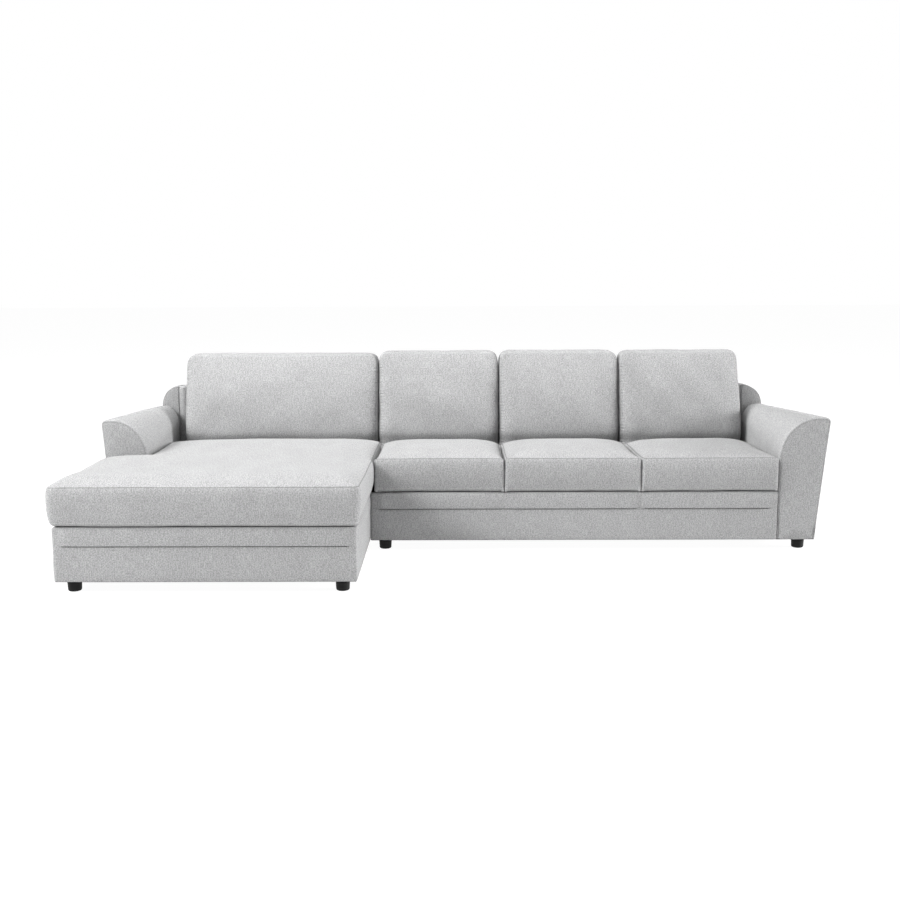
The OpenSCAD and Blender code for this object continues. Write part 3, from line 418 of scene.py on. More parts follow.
@dataclass(frozen=True)
class WovenFabric:
    """Flecked flat-woven upholstery cloth, with the puckers of its seams and painted shade along them."""

    name: str = "woven_fabric"
    level: float = 0.592
    fleck: float = 0.16
    thread: float = 0.0024
    # How dark the painted shade is right on a seam, as a factor on the colour, and how far from the seam it
    # reaches
    seam_shade: float = 0.8
    seam_reach: float = 0.0046
    pucker: float = 0.0
    gather: float = 0.0145
    gather_reach: float = 0.034
    nap: float = 0.0016
    tint: tuple[float, float, float] = (0.997, 0.999, 1.005)
    yarns: Sequence[tuple[float, float, float]] = ((170, 420, 0.38), (420, 150, 0.42), (260, 30, 0.2))

    def material(self) -> Material:
        """Builds the cloth from its yarns: flecks per metre across and along, and the weight of each yarn."""
        g = Graph(self.name)
        cloth = g.add("UVMap", uv_map="cloth").outputs[0]
        yarn = g.weighted(*((g.noise(g.stretched(cloth, (u, v, 1)), 1.0, 1.0), weight)
                            for u, v, weight in self.yarns))
        dark = grey(self.level - self.fleck / 2, self.tint)
        light = grey(self.level + self.fleck / 2, self.tint)
        colour = g.blend(g.ramp(yarn, 0.41, 0.59, 0.0, 1.0), dark, light)
        broad = g.noise(g.stretched(cloth, (11, 4, 1)), 1.0)
        colour = g.shaded(colour, g.ramp(broad, 0.3, 0.7, 0.965, 1.035))
        gap = g.add("Attribute", attribute_name="seam_gap").outputs["Fac"]
        # Painted shade: the colour darkens towards each seam, fold and tuck, where a crease's shade would
        # fall
        colour = g.shaded(colour, g.ramp(gap, 0.0, self.seam_reach, self.seam_shade, 1.0))
        normal = g.bump(g.weighted((self.relief(g, cloth), 0.2), (yarn, 0.9)), self.nap)
        if self.pucker:
            normal = g.bump(self.puckers(g, gap), self.pucker, normal)
        rough = g.ramp(yarn, 0.3, 0.7, 0.86, 0.96)
        inputs = {"Base Color": colour, "Roughness": rough, "Normal": normal, "Specular IOR Level": 0.18}
        return g.finish({**inputs, "Sheen Weight": 0.06, "Sheen Roughness": 0.5})

    def relief(self, g: Graph, cloth: Socket) -> Socket:
        """Height of threads that pass over and under each other."""
        parts = g.add("SeparateXYZ", {0: cloth})
        turn = math.pi / self.thread
        across = g.math("SINE", g.math("MULTIPLY", parts.outputs[0], turn))
        up = g.math("SINE", g.math("MULTIPLY", parts.outputs[1], turn))
        over = g.math("GREATER_THAN", g.math("MULTIPLY", across, up), 0.0)
        first = g.math("MULTIPLY", g.math("ABSOLUTE", across), over)
        second = g.math("MULTIPLY", g.math("ABSOLUTE", up), g.math("SUBTRACT", 1.0, over))
        return g.math("ADD", first, second)

    def puckers(self, g: Graph, gap: Socket) -> Socket:
        """Height of the small gathers that stand across a seam."""
        run = g.add("Attribute", attribute_name="seam_run").outputs["Fac"]
        flat = g.add("CombineXYZ", {0: run}).outputs[0]
        wander = g.math("MULTIPLY", g.noise(flat, 30.0), 9.0)
        beat = g.math("SINE", g.math("ADD", g.math("MULTIPLY", run, 2 * math.pi / self.gather), wander))
        strength = g.ramp(g.noise(flat, 55.0), 0.4, 0.62, 0.15, 1.0)
        fade = g.math("POWER", g.ramp(gap, 0.0, self.gather_reach, 1.0, 0.0), 1.5)
        return g.math("MULTIPLY", g.math("MULTIPLY", beat, strength), fade)


@dataclass(frozen=True)
class Timber:
    """Planed softwood and plywood with a fine grain."""

    name: str = "timber"
    colour: Colour = (0.56, 0.39, 0.22, 1.0)

    def material(self) -> Material:
        """Builds the wood."""
        g = Graph(self.name)
        place = g.add("TexCoord").outputs["Object"]
        bend = g.noise(place, 4.0)
        grain = g.noise(g.stretched(place, (6, 6, 160)), 1.0, 4.0, 0.65)
        wave = {"Vector": g.stretched(place, (2, 2, 30)), "Scale": 1.0, "Distortion": 4.0, "Detail": 2.0}
        rings = g.add("TexWave", wave, bands_direction="Z").outputs[1]
        share = g.weighted((grain, 0.7), (rings, 0.3))
        colour = g.blend(g.ramp(share, 0.3, 0.7, 0.0, 1.0), toned(self.colour, 0.55), self.colour)
        colour = g.blend(g.ramp(bend, 0.4, 0.8, 0.0, 0.5), colour, toned(self.colour, 1.25))
        return g.finish({"Base Color": colour, "Roughness": g.ramp(grain, 0.3, 0.7, 0.5, 0.75),
                         "Normal": g.bump(grain, 0.0004)})


@dataclass(frozen=True)
class Steel:
    """Zinc-plated steel with faint spangle."""

    name: str = "steel"
    level: float = 0.62

    def material(self) -> Material:
        """Builds the plated steel."""
        g = Graph(self.name)
        place = g.add("TexCoord").outputs["Object"]
        spangle = g.noise(place, 180.0, 2.0)
        colour = g.blend(g.ramp(spangle, 0.35, 0.65, 0.0, 1.0), grey(self.level), grey(self.level + 0.12))
        rough = g.ramp(spangle, 0.3, 0.7, 0.28, 0.45)
        normal = g.bump(g.noise(place, 900.0), 0.0001)
        return g.finish({"Base Color": colour, "Metallic": 1.0, "Roughness": rough, "Normal": normal})


@dataclass(frozen=True)
class Plastic:
    """Moulded black plastic with a fine satin grain and paler streaks that run round it."""

    name: str = "black_plastic"
    level: float = 0.028

    def material(self) -> Material:
        """Builds the plastic."""
        g = Graph(self.name)
        place = g.add("TexCoord").outputs["Object"]
        grain = g.noise(place, 1400.0, 2.0)
        round_streaks = g.noise(g.stretched(place, (60, 60, 300)), 1.0, 3.0)
        # Paler streaks that run round the foot, mixed into the black
        colour = g.blend(g.ramp(round_streaks, 0.55, 0.8, 0.0, 0.6), grey(self.level), grey(self.level + 0.03))
        rough = g.ramp(round_streaks, 0.3, 0.7, 0.48, 0.62)
        return g.finish({"Base Color": colour, "Roughness": rough, "Specular IOR Level": 0.25,
                         "Normal": g.bump(grain, 0.00012)})


@dataclass(frozen=True)
class Foam:
    """Open-celled cushion foam."""

    name: str = "foam"
    colour: Colour = (0.80, 0.74, 0.52, 1.0)

    def material(self) -> Material:
        """Builds the foam."""
        g = Graph(self.name)
        place = g.add("TexCoord").outputs["Object"]
        cells = g.add("TexVoronoi", {"Vector": place, "Scale": 520.0}).outputs[0]
        age = g.noise(place, 7.0)
        colour = g.blend(g.ramp(cells, 0.1, 0.6, 0.0, 1.0), self.colour, toned(self.colour, 0.8))
        colour = g.blend(g.ramp(age, 0.4, 0.7, 0.0, 0.3), colour, (0.86, 0.80, 0.62, 1.0))
        return g.finish({"Base Color": colour, "Roughness": 0.95, "Normal": g.bump(cells, 0.0006)})


@dataclass(frozen=True)
class PlainCloth:
    """Thin felted or ribbed cloth in one colour: lining, dust cloth, webbing or thread."""

    name: str
    colour: Colour
    rib: float = 0.002
    depth: float = 0.0004

    def material(self) -> Material:
        """Builds the cloth."""
        g = Graph(self.name)
        place = g.add("TexCoord").outputs["Object"]
        parts = g.add("SeparateXYZ", {0: place})
        ribs = g.math("SINE", g.math("MULTIPLY", parts.outputs[0], 2 * math.pi / self.rib))
        fibre = g.noise(place, 700.0, 3.0)
        height = g.math("ADD", g.math("MULTIPLY", ribs, 0.4), fibre)
        colour = g.blend(g.ramp(height, 0.2, 1.0, 0.0, 0.6), self.colour, toned(self.colour, 1.6, 0.004))
        return g.finish({"Base Color": colour, "Roughness": 0.92, "Specular IOR Level": 0.2,
                         "Normal": g.bump(height, self.depth)})


def made(finish: WovenFabric | Timber | Steel | Plastic | Foam | PlainCloth) -> Material:
    """A field that holds the finish's material, made with the object it is in."""
    return field(default_factory=finish.material)


@dataclass
class Finishes:
    """One material of each kind, made once."""

    fabric: Material = made(WovenFabric())
    # seam_shade sets how dark the painted shade along the seams is, darkest in the base's tucks
    base_fabric: Material = made(WovenFabric("base_fabric", seam_shade=0.25))
    seat_fabric: Material = made(WovenFabric("seat_fabric", seam_shade=0.45, pucker=0.0008))
    back_fabric: Material = made(WovenFabric("back_fabric", seam_shade=0.7, pucker=0.0017))
    timber: Material = made(Timber())
    steel: Material = made(Steel())
    plastic: Material = made(Plastic())
    foam: Material = made(Foam())
    lining: Material = made(PlainCloth("deck_lining", grey(0.36), 0.003))
    dust_cloth: Material = made(PlainCloth("black_dust_cloth", grey(0.13), 0.0016))
    webbing: Material = made(PlainCloth("black_webbing", grey(0.17), 0.0032, 0.0008))
    thread: Material = made(PlainCloth("grey_thread", grey(0.74), 0.0006, 0.0001))


def dress(
    piece: Piece,
    material: Material,
    body: str,
    nodes: Sequence[str] = (),
) -> None:
    """Gives a finished piece its material, its body and the parts that it stands for.

    Args:
        piece: The finished piece.
        material: Its material.
        body: The body that it moves with.
        nodes: The solid parts that it stands for.
    """
    piece.data.materials.clear()
    piece.data.materials.append(material)
    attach(piece, body)
    if nodes:
        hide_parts(*nodes)
    log.info("%s on %s: %d faces", piece.name, body, len(piece.data.polygons))


def upholster(piece: Piece, material: Material, node: str) -> None:
    """Lays the cloth of a fixed cover and dresses it."""
    lay_cloth(piece)
    dress(piece, material, "sofa", [node])


def soften(piece: Piece, levels: int = 1) -> None:
    """Subdivides the piece once it is final."""
    modifier = piece.modifiers.new("Soften", "SUBSURF")
    modifier.levels = levels
    modifier.render_levels = levels


@dataclass
class Filling:
    """Air pressure that fills a sewn case: the cloth between the held points swells."""

    cap: float
    pressure: float = 4.0
    frames: int = 20

    def swell(self, piece: Piece, held: Sequence[int]) -> None:
        """Fills the case, and keeps each point within the cap of where it was.

        Args:
            piece: A closed mesh.
            held: Points that stay where they are, such as those on seams.
        """
        before = points_of(piece)
        group = piece.vertex_groups.new(name="held")
        group.add([int(i) for i in held], 1.0, "REPLACE")
        modifier = piece.modifiers.new("Filling", "CLOTH")
        cloth = modifier.settings
        cloth.quality = 4
        cloth.mass = 0.15
        cloth.tension_stiffness = 20
        cloth.compression_stiffness = 20
        cloth.shear_stiffness = 8
        cloth.bending_stiffness = 1.5
        cloth.use_pressure = True
        cloth.uniform_pressure_force = self.pressure
        cloth.vertex_group_mass = group.name
        cloth.effector_weights.gravity = 0
        modifier.collision_settings.use_collision = False
        modifier.point_cache.frame_start = 1
        modifier.point_cache.frame_end = self.frames
        for number in range(1, self.frames + 1):
            bpy.context.scene.frame_set(number)
        swollen = piece.evaluated_get(bpy.context.evaluated_depsgraph_get())
        after = points_of(swollen)
        piece.modifiers.remove(modifier)
        piece.vertex_groups.clear()
        bpy.context.scene.frame_set(1)
        move = after - before
        length = np.linalg.norm(move, axis=1)
        log.info("%s swells by up to %.1f mm", piece.name, 1000 * float(length.max()))
        short = np.minimum(1, self.cap / np.maximum(length, 1e-9))
        set_points(piece, before + move * short[:, None])


Corner = tuple[float, float, float, float, float]


@dataclass
class PaddedForm:
    """A closed padded form: a face over a grid, a side strip round it, and an underside.

    Lines of the grid run along the local x and y axes. Cells left of and above the notch are left out, which
    gives the wrap-round form of the chaise. The side strip is told as shares of the height with how far the
    cloth stands out there. A snug form has straight sides to its left and right. The pull draws the middle of
    each side in.
    """

    name: str
    x_stops: Sequence[float]
    y_stops: Sequence[float]
    corners: Sequence[Corner]
    height: Callable[[Grid, Grid], Grid]
    floor: float
    side: Sequence[Spot]
    inset: float
    snug: float = 0.0
    step: float = 0.016
    notch: tuple[float, float] | None = None
    place: Callable[[Grid], Grid] | None = None
    pull: tuple[float, float] = (0.0, 0.0)
    rings: list[Grid] = field(default_factory=list)

    def build(self) -> Piece:
        """Builds the closed mesh and keeps its rings of points, from the face's seam to the underside.

        Returns:
            The piece, with its faces turned outwards.
        """
        xs = grid_lines(self.x_stops, self.step)
        ys = grid_lines(self.y_stops, self.step)
        n = len(xs) - 1
        m = len(ys) - 1
        ni = int(np.argmin(abs(xs - self.notch[0]))) if self.notch else 0
        nj = int(np.argmin(abs(ys - self.notch[1]))) if self.notch else 0
        flat_x, flat_y = np.meshgrid(xs, ys)
        x, y = self.rounded(flat_x, flat_y)
        z = self.height(flat_x, flat_y)
        face = np.stack((x, y, z), axis=-1).reshape(-1, 3)
        rim = self.rim(n, m, ni, nj)
        edge = np.array([j * (n + 1) + i for i, j in rim])
        count = len(edge)
        points = [face, *self.strip(face[edge])]
        flat = (self.shrunk(x, self.x_stops), self.shrunk(y, self.y_stops), np.full_like(x, self.floor))
        under = np.stack(flat, axis=-1).reshape(-1, 3)
        points.append(under[edge])
        starts = [len(face) + k * count for k in range(len(points))]
        self.rings = [edge, *(start + np.arange(count) for start in starts[:-1])]
        below = starts[-1] + np.arange(len(face))
        below[edge] = self.rings[-1]
        points.append(under)
        faces: list[list[int]] = []
        for j in range(m):
            for i in range(n):
                if self.notch and i < ni and j >= nj:
                    continue
                a = j * (n + 1) + i
                cell = [a, a + 1, a + n + 2, a + n + 1]
                faces.append(cell)
                faces.append([int(below[k]) for k in reversed(cell)])
        for upper, lower in zip(self.rings[:-1], self.rings[1:]):
            after = np.roll(np.arange(count), -1)
            faces += np.column_stack((upper, lower, lower[after], upper[after])).tolist()
        places = np.concatenate(points)
        if self.place:
            places = self.place(places)
        used = np.zeros(len(places), bool)
        used[[k for f in faces for k in f]] = True
        order = np.cumsum(used) - 1
        piece = add_piece(self.name, places[used], [[int(order[k]) for k in f] for f in faces])
        self.rings = [order[ring] for ring in self.rings]
        close_up(piece)
        return piece

    def strip(self, seam: Grid) -> list[Grid]:
        """Rings of points of the side strip.

        Args:
            seam: The closed line of the face's rim.

        Returns:
            The rings, from the topmost one down.
        """
        tangent = np.roll(seam, -1, axis=0) - np.roll(seam, 1, axis=0)
        outward = np.column_stack((tangent[:, 1], -tangent[:, 0]))
        outward /= np.linalg.norm(outward, axis=1)[:, None]
        widest = max(out for _, out in self.side)
        top_ease, foot_ease = 0.05, 0.03
        rings = []
        for share, out in self.side:
            straight = widest * min(1.0, (1 - share) / top_ease, share / foot_ease) ** 0.5
            ring = seam.copy()
            ring[:, :2] += outward * (out + self.snug * (straight - out) * outward[:, :1] ** 2)
            ring[:, 2] = self.floor + (ring[:, 2] - self.floor) * share
            rings.append(ring)
        return rings

    def shrunk(self, values: Grid, stops: Sequence[float]) -> Grid:
        """Places on the underside, drawn in from each outer side."""
        inset = self.inset * (1 - self.snug if stops is self.x_stops else 1.0)
        shifts = [inset] + [inset if stops is self.x_stops else -inset] * (len(stops) - 2)
        return np.interp(values, stops, [s + d for s, d in zip(stops, shifts + [-inset])])

    def rounded(self, x: Grid, y: Grid) -> tuple[Grid, Grid]:
        """Rounds the corners and draws the sides in between them."""
        a, b = self.x_stops[0], self.x_stops[-1]
        c, d = self.y_stops[0], self.y_stops[-1]
        u, v = (x - a) / (b - a), (y - c) / (d - c)
        x, y = x.copy(), y.copy()
        for cx, cy, sx, sy, r in self.corners:
            p = r - (x - cx) * sx
            q = r - (y - cy) * sy
            near = (p > 0) & (q > 0)
            size = np.where(near, np.maximum(p, q) / np.maximum(np.hypot(p, q), 1e-9), 1)
            x = np.where(near, cx + sx * (r - p * size), x)
            y = np.where(near, cy + sy * (r - q * size), y)
        x += self.pull[0] * (1 - 2 * u) * 4 * v * (1 - v)
        y += self.pull[1] * (1 - 2 * v) * 4 * u * (1 - u)
        return x, y

    @staticmethod
    def rim(n: int, m: int, ni: int, nj: int) -> list[tuple[int, int]]:
        """The rim of a grid of n by m cells, with its notch at ni and nj, anticlockwise from above."""
        low = [(i, 0) for i in range(n)] + [(n, j) for j in range(m)]
        if not ni:
            return low + [(i, m) for i in range(n, 0, -1)] + [(0, j) for j in range(m, 0, -1)]
        top = [(i, m) for i in range(n, ni, -1)] + [(ni, j) for j in range(m, nj, -1)]
        return low + top + [(i, nj) for i in range(ni, 0, -1)] + [(0, j) for j in range(nj, 0, -1)]


def ring_line(piece: Piece, ring: Grid) -> Grid:
    """The closed line through a ring of points."""
    line = points_of(piece)[ring]
    return np.vstack((line, line[:1]))


class Along:
    """Sets small fastenings along lines, by a node tree with named sizes."""

    def __init__(self, kind: Fastening) -> None:
        """Builds the tree for stitches or staples."""
        self.kind = kind
        tree = bpy.data.node_groups.new(f"{kind.value}_line", "GeometryNodeTree")
        face = tree.interface
        face.new_socket("Line", in_out="INPUT", socket_type="NodeSocketGeometry")
        self.sizes = {
            name: face.new_socket(name, in_out="INPUT", socket_type="NodeSocketFloat").identifier
            for name in ("Spacing", "Length", "Width")
        }
        paint_slot = face.new_socket("Material", in_out="INPUT", socket_type="NodeSocketMaterial")
        self.material = paint_slot.identifier
        face.new_socket("Fastenings", in_out="OUTPUT", socket_type="NodeSocketGeometry")
        start = tree.nodes.new("NodeGroupInput")
        end = tree.nodes.new("NodeGroupOutput")
        link = tree.links.new
        curve = tree.nodes.new("GeometryNodeMeshToCurve")
        link(start.outputs["Line"], curve.inputs[0])
        even = tree.nodes.new("GeometryNodeResampleCurve")
        even.mode = "LENGTH"
        link(curve.outputs[0], even.inputs["Curve"])
        link(start.outputs["Spacing"], even.inputs["Length"])
        tangent = tree.nodes.new("GeometryNodeInputTangent")
        turn = tree.nodes.new("FunctionNodeAlignRotationToVector")
        turn.axis = "Z"
        link(tangent.outputs[0], turn.inputs["Vector"])
        copies = tree.nodes.new("GeometryNodeInstanceOnPoints")
        link(even.outputs[0], copies.inputs["Points"])
        link(self.shape(tree, start), copies.inputs["Instance"])
        link(turn.outputs[0], copies.inputs["Rotation"])
        real = tree.nodes.new("GeometryNodeRealizeInstances")
        link(copies.outputs[0], real.inputs[0])
        paint = tree.nodes.new("GeometryNodeSetMaterial")
        link(real.outputs[0], paint.inputs["Geometry"])
        link(start.outputs["Material"], paint.inputs["Material"])
        link(paint.outputs[0], end.inputs[0])
        self.tree = tree

    def shape(self, tree: bpy.types.NodeTree, start: bpy.types.Node) -> Socket:
        """One stitch, a short length of thread, or one staple, a flat wire."""
        if self.kind is Fastening.STITCH:
            thread = tree.nodes.new("GeometryNodeMeshCylinder")
            thread.inputs["Vertices"].default_value = 5
            tree.links.new(start.outputs["Width"], thread.inputs["Radius"])
            tree.links.new(start.outputs["Length"], thread.inputs["Depth"])
            return thread.outputs[0]
        size = tree.nodes.new("ShaderNodeCombineXYZ")
        tree.links.new(start.outputs["Width"], size.inputs[0])
        tree.links.new(start.outputs["Width"], size.inputs[1])
        tree.links.new(start.outputs["Length"], size.inputs[2])
        wire = tree.nodes.new("GeometryNodeMeshCube")
        tree.links.new(size.outputs[0], wire.inputs["Size"])
        return wire.outputs[0]

    def run(
        self, name: str, lines: Sequence[Grid], sizes: tuple[float, float, float], material: Material
    ) -> Piece:
        """Sets fastenings along lines of points.

        Args:
            name: Name of the piece.
            lines: The lines that they follow.
            sizes: Spacing, length and width of one fastening.
            material: Their material.

        Returns:
            One plain mesh piece.
        """
        points: list[Grid] = []
        edges: list[tuple[int, int]] = []
        for line in lines:
            edges += [(len(points) + i, len(points) + i + 1) for i in range(len(line) - 1)]
            points += list(line)
        guide = add_piece(name + "_line", points, [], edges)
        modifier = guide.modifiers.new("Along", "NODES")
        modifier.node_group = self.tree
        for key, value in zip(("Spacing", "Length", "Width"), sizes):
            modifier[self.sizes[key]] = value
        modifier[self.material] = material
        result = bpy.data.meshes.new_from_object(guide.evaluated_get(bpy.context.evaluated_depsgraph_get()))
        bpy.data.objects.remove(guide)
        result.name = name
        return hung(name, result)


@dataclass
class Workshop:
    """What every sub-assembly needs: the finishes and the sewing."""

    finishes: Finishes = field(default_factory=Finishes)
    stitches: Along = field(default_factory=lambda: Along(Fastening.STITCH))
    staples: Along = field(default_factory=lambda: Along(Fastening.STAPLE))
    # Spacing, length and thickness
    stitch_sizes: tuple[float, float, float] = (0.0062, 0.0042, 0.0006)
    staple_sizes: tuple[float, float, float] = (0.055, 0.010, 0.0007)

    def stitch(self, name: str, body: str, lines: Sequence[Grid]) -> None:
        """Sews a line of visible stitches."""
        piece = self.stitches.run(name, lines, self.stitch_sizes, self.finishes.thread)
        dress(piece, self.finishes.thread, body)


# Side strip of a seat cushion: share of its height, and how far the cloth stands out there
SEAT_SIDE = (
    (0.985, 0.0016), (0.95, 0.0040), (0.90, 0.0056), (0.80, 0.0068), (0.66, 0.0070), (0.50, 0.0064),
    (0.36, 0.0046), (0.25, 0.0022), (0.17, -0.0006), (0.125, -0.0024), (0.105, -0.0034), (0.09, -0.0046),
    (0.06, -0.0082), (0.035, -0.0128), (0.015, -0.0190),
)
# Ring of the side strip that the lower seam follows
LOWER_SEAM = 11


@dataclass
class SeatCushion:
    """A loose seat cushion with a crowned top, a boxed side and a seam round its lower edge."""

    name: str
    left: float
    right: float
    front: float
    dip: float = 0.021
    seed: int = 1
    bulge: float = 0.007
    radius: float = 0.006
    run: float = 0.210
    edge_run: float = 0.055
    edge_share: float = 0.8
    puff_depth: float = 2.5
    snug: float = 1.0
    foot_inset: float = 0.024
    foot_held: float = 0.004
    thread_lift: float = 0.0012
    sag_run: float = 0.16
    front_lift: float = 0.0
    lift_run: float = 0.3

    def stops(self) -> tuple[list[float], list[float]]:
        """Places of the side seams, and of the front and back seams."""
        across = [self.left + self.bulge, self.right - self.bulge]
        return across, [self.front + self.bulge, PLAN.seat_rear - PLAN.gap - self.bulge]

    def corners(self) -> list[Corner]:
        """The rounded corners."""
        (a, b), (c, d) = self.stops()
        return [(x, y, sx, sy, self.radius) for x, sx in ((a, 1), (b, -1)) for y, sy in ((c, 1), (d, -1))]

    def notch(self) -> tuple[float, float] | None:
        """The cut-out for the arm, if the cushion has one."""
        return None

    def puff(self, distance: Grid, y: Grid) -> Grid:
        """Share of the crown at a distance inside a seam: steep near the front, gentle at the rear."""
        rows = self.stops()[1]
        share = self.edge_share * np.clip(1 - (y - rows[0]) / (rows[-1] - rows[0]) / self.puff_depth, 0, 1)
        return share * rise(distance, self.edge_run) + (1 - share) * rise(distance, self.run)

    def across(self, x: Grid, y: Grid) -> Grid:
        """Share of the crown at a distance from the side seams."""
        (a, b), _ = self.stops()
        return self.puff(np.minimum(x - a, b - x), y)

    def top(self, x: Grid, y: Grid) -> Grid:
        """Height of the top face."""
        rows = self.stops()[1]
        across = self.across(x, y)
        sag = self.dip * (1 - across) * (1 - np.exp(-(y - rows[0]) / self.sag_run))
        ends = np.minimum(self.puff(y - rows[0], y), rise(rows[-1] - y, self.run))
        lift = self.front_lift * np.exp(-(((y - rows[0]) / self.lift_run) ** 2)) * (0.6 + 0.9 * across * ends)
        return PLAN.seam + PLAN.crown * across * ends - sag + lift

    def settle(self, piece: Piece) -> None:
        """Flattens the cushion where it meets its neighbours, the deck and the back cushion."""
        p = points_of(piece)
        p[:, 0] = np.clip(p[:, 0], self.left, self.right)
        p[:, 1] = np.clip(p[:, 1], self.front, PLAN.seat_rear - PLAN.gap)
        p[:, 2] = np.maximum(p[:, 2], PLAN.seat_foot)
        set_points(piece, p)

    def build(self, shop: Workshop) -> None:
        """Builds the cover, fills it, sews its seams and lays the foam in it."""
        xs, ys = self.stops()
        node = self.name + "_cushion"
        pull = (0.0, 0.0) if self.notch() else (0.001, 0.002)
        form = PaddedForm(node, xs, ys, self.corners(), self.top, PLAN.seat_foot, SEAT_SIDE, self.foot_inset,
                          self.snug, notch=self.notch(), pull=pull)
        piece = form.build()
        bottom = np.flatnonzero(points_of(piece)[:, 2] < PLAN.seat_foot + self.foot_held)
        held = np.concatenate((form.rings[0], form.rings[LOWER_SEAM], bottom))
        Filling(cap=0.008).swell(piece, held)
        ripple(piece, height=0.0009, length=0.22, seed=self.seed)
        draw_in(piece, mark_seams(piece, [ring_line(piece, form.rings[0])]), fine=0.0028, broad=0.0016)
        self.settle(piece)
        line = ring_line(piece, form.rings[LOWER_SEAM])
        lay_cloth(piece)
        soften(piece)
        dress(piece, shop.finishes.seat_fabric, self.name, [node])
        shop.stitch(self.name + "_stitches", self.name, [line + (0, 0, self.thread_lift)])
        self.foam(shop)

    def foam(self, shop: Workshop) -> None:
        """Lays the foam block in the cover."""
        node = self.name + "_foam"
        piece = foam_block(node, self.notch())
        dress(piece, shop.finishes.foam, self.name, [node])


def eased(r: float, height: float) -> tuple[Spot, ...]:
    """Side strip of a block with eased edges, as shares of its height and distances outwards."""
    upper = tuple((1 - (1 - math.cos(t)) * r / height, r * math.sin(t)) for t in (0.5, 1.1, 1.57))
    return upper + tuple((1 - share, out) for share, out in reversed(upper))


def foam_block(node: str, notch: tuple[float, float] | None = None) -> Piece:
    """A cut foam block with eased edges, in the space of a solid foam part.

    Args:
        node: Name of the solid part.
        notch: Places of the cut-out's sides in the cushion, if it has one.

    Returns:
        The block.
    """
    low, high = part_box(node)
    r, side = 0.006, 0.0265
    xs, ys = [low[0] + r, high[0] - r], [low[1] + r, high[1] - r]
    inner = None
    if notch:
        inner = (notch[0] + side + r, notch[1] - side - r)
        xs, ys = [xs[0], inner[0], xs[1]], [ys[0], inner[1], ys[1]]
    form = PaddedForm(node + "_block", xs, ys, [], lambda x, y: np.full_like(x, high[2]), low[2],
                      eased(r, high[2] - low[2]), 0.0, step=0.08, notch=inner)
    piece = form.build()
    lay_cloth(piece)
    return piece


@dataclass
class ChaiseCushion(SeatCushion):
    """The chaise cushion, which wraps round in front of the left arm."""

    def notch(self) -> tuple[float, float]:
        """The cut-out for the left arm."""
        return -PLAN.arm_in + PLAN.clear + self.bulge, PLAN.left_arm - PLAN.clear - self.bulge

    def stops(self) -> tuple[list[float], list[float]]:
        """Places of the side seams, and of the front and back seams."""
        (a, b), (c, d) = super().stops()
        notch = self.notch()
        return [a, notch[0], b], [c, notch[1], d]

    def corners(self) -> list[Corner]:
        """The five rounded corners."""
        (a, xn, b), (c, yn, d) = self.stops()
        ends = ((a, c, 1, 1), (b, c, -1, 1), (b, d, -1, -1), (xn, d, 1, -1), (a, yn, 1, -1))
        return [(*end, self.radius) for end in ends]

    def across(self, x: Grid, y: Grid) -> Grid:
        """Share of the crown at a distance from the side seams."""
        (a, xn, b), (c, yn, d) = self.stops()
        left = np.maximum(self.puff(x - a, y) * rise(yn - y, self.run), rise(x - xn, self.run))
        return left * self.puff(b - x, y)

    def settle(self, piece: Piece) -> None:
        """Flattens the cushion where it meets its neighbours and keeps it clear of the arm."""
        super().settle(piece)
        p = points_of(piece)
        limit_x, limit_y = -PLAN.arm_in + PLAN.clear, PLAN.left_arm - PLAN.clear
        inside = (p[:, 0] < limit_x) & (p[:, 1] > limit_y)
        by_x = inside & (limit_x - p[:, 0] < p[:, 1] - limit_y)
        p[by_x, 0] = limit_x
        p[inside & ~by_x, 1] = limit_y
        set_points(piece, p)


# Side strip of a back cushion, told in the same way
BACK_SIDE = (
    (0.985, 0.0018), (0.95, 0.0042), (0.90, 0.0060), (0.80, 0.0076), (0.66, 0.0080), (0.50, 0.0080),
    (0.34, 0.0074), (0.20, 0.0056), (0.10, 0.0026), (0.05, -0.0004), (0.02, -0.0034),
)


def below(line: Grid, level: float) -> Grid:
    """The part of a closed line that lies below a level, as one open line."""
    line = np.roll(line[:-1], -int(np.argmax(line[:-1, 2])), axis=0)
    return line[line[:, 2] < level]


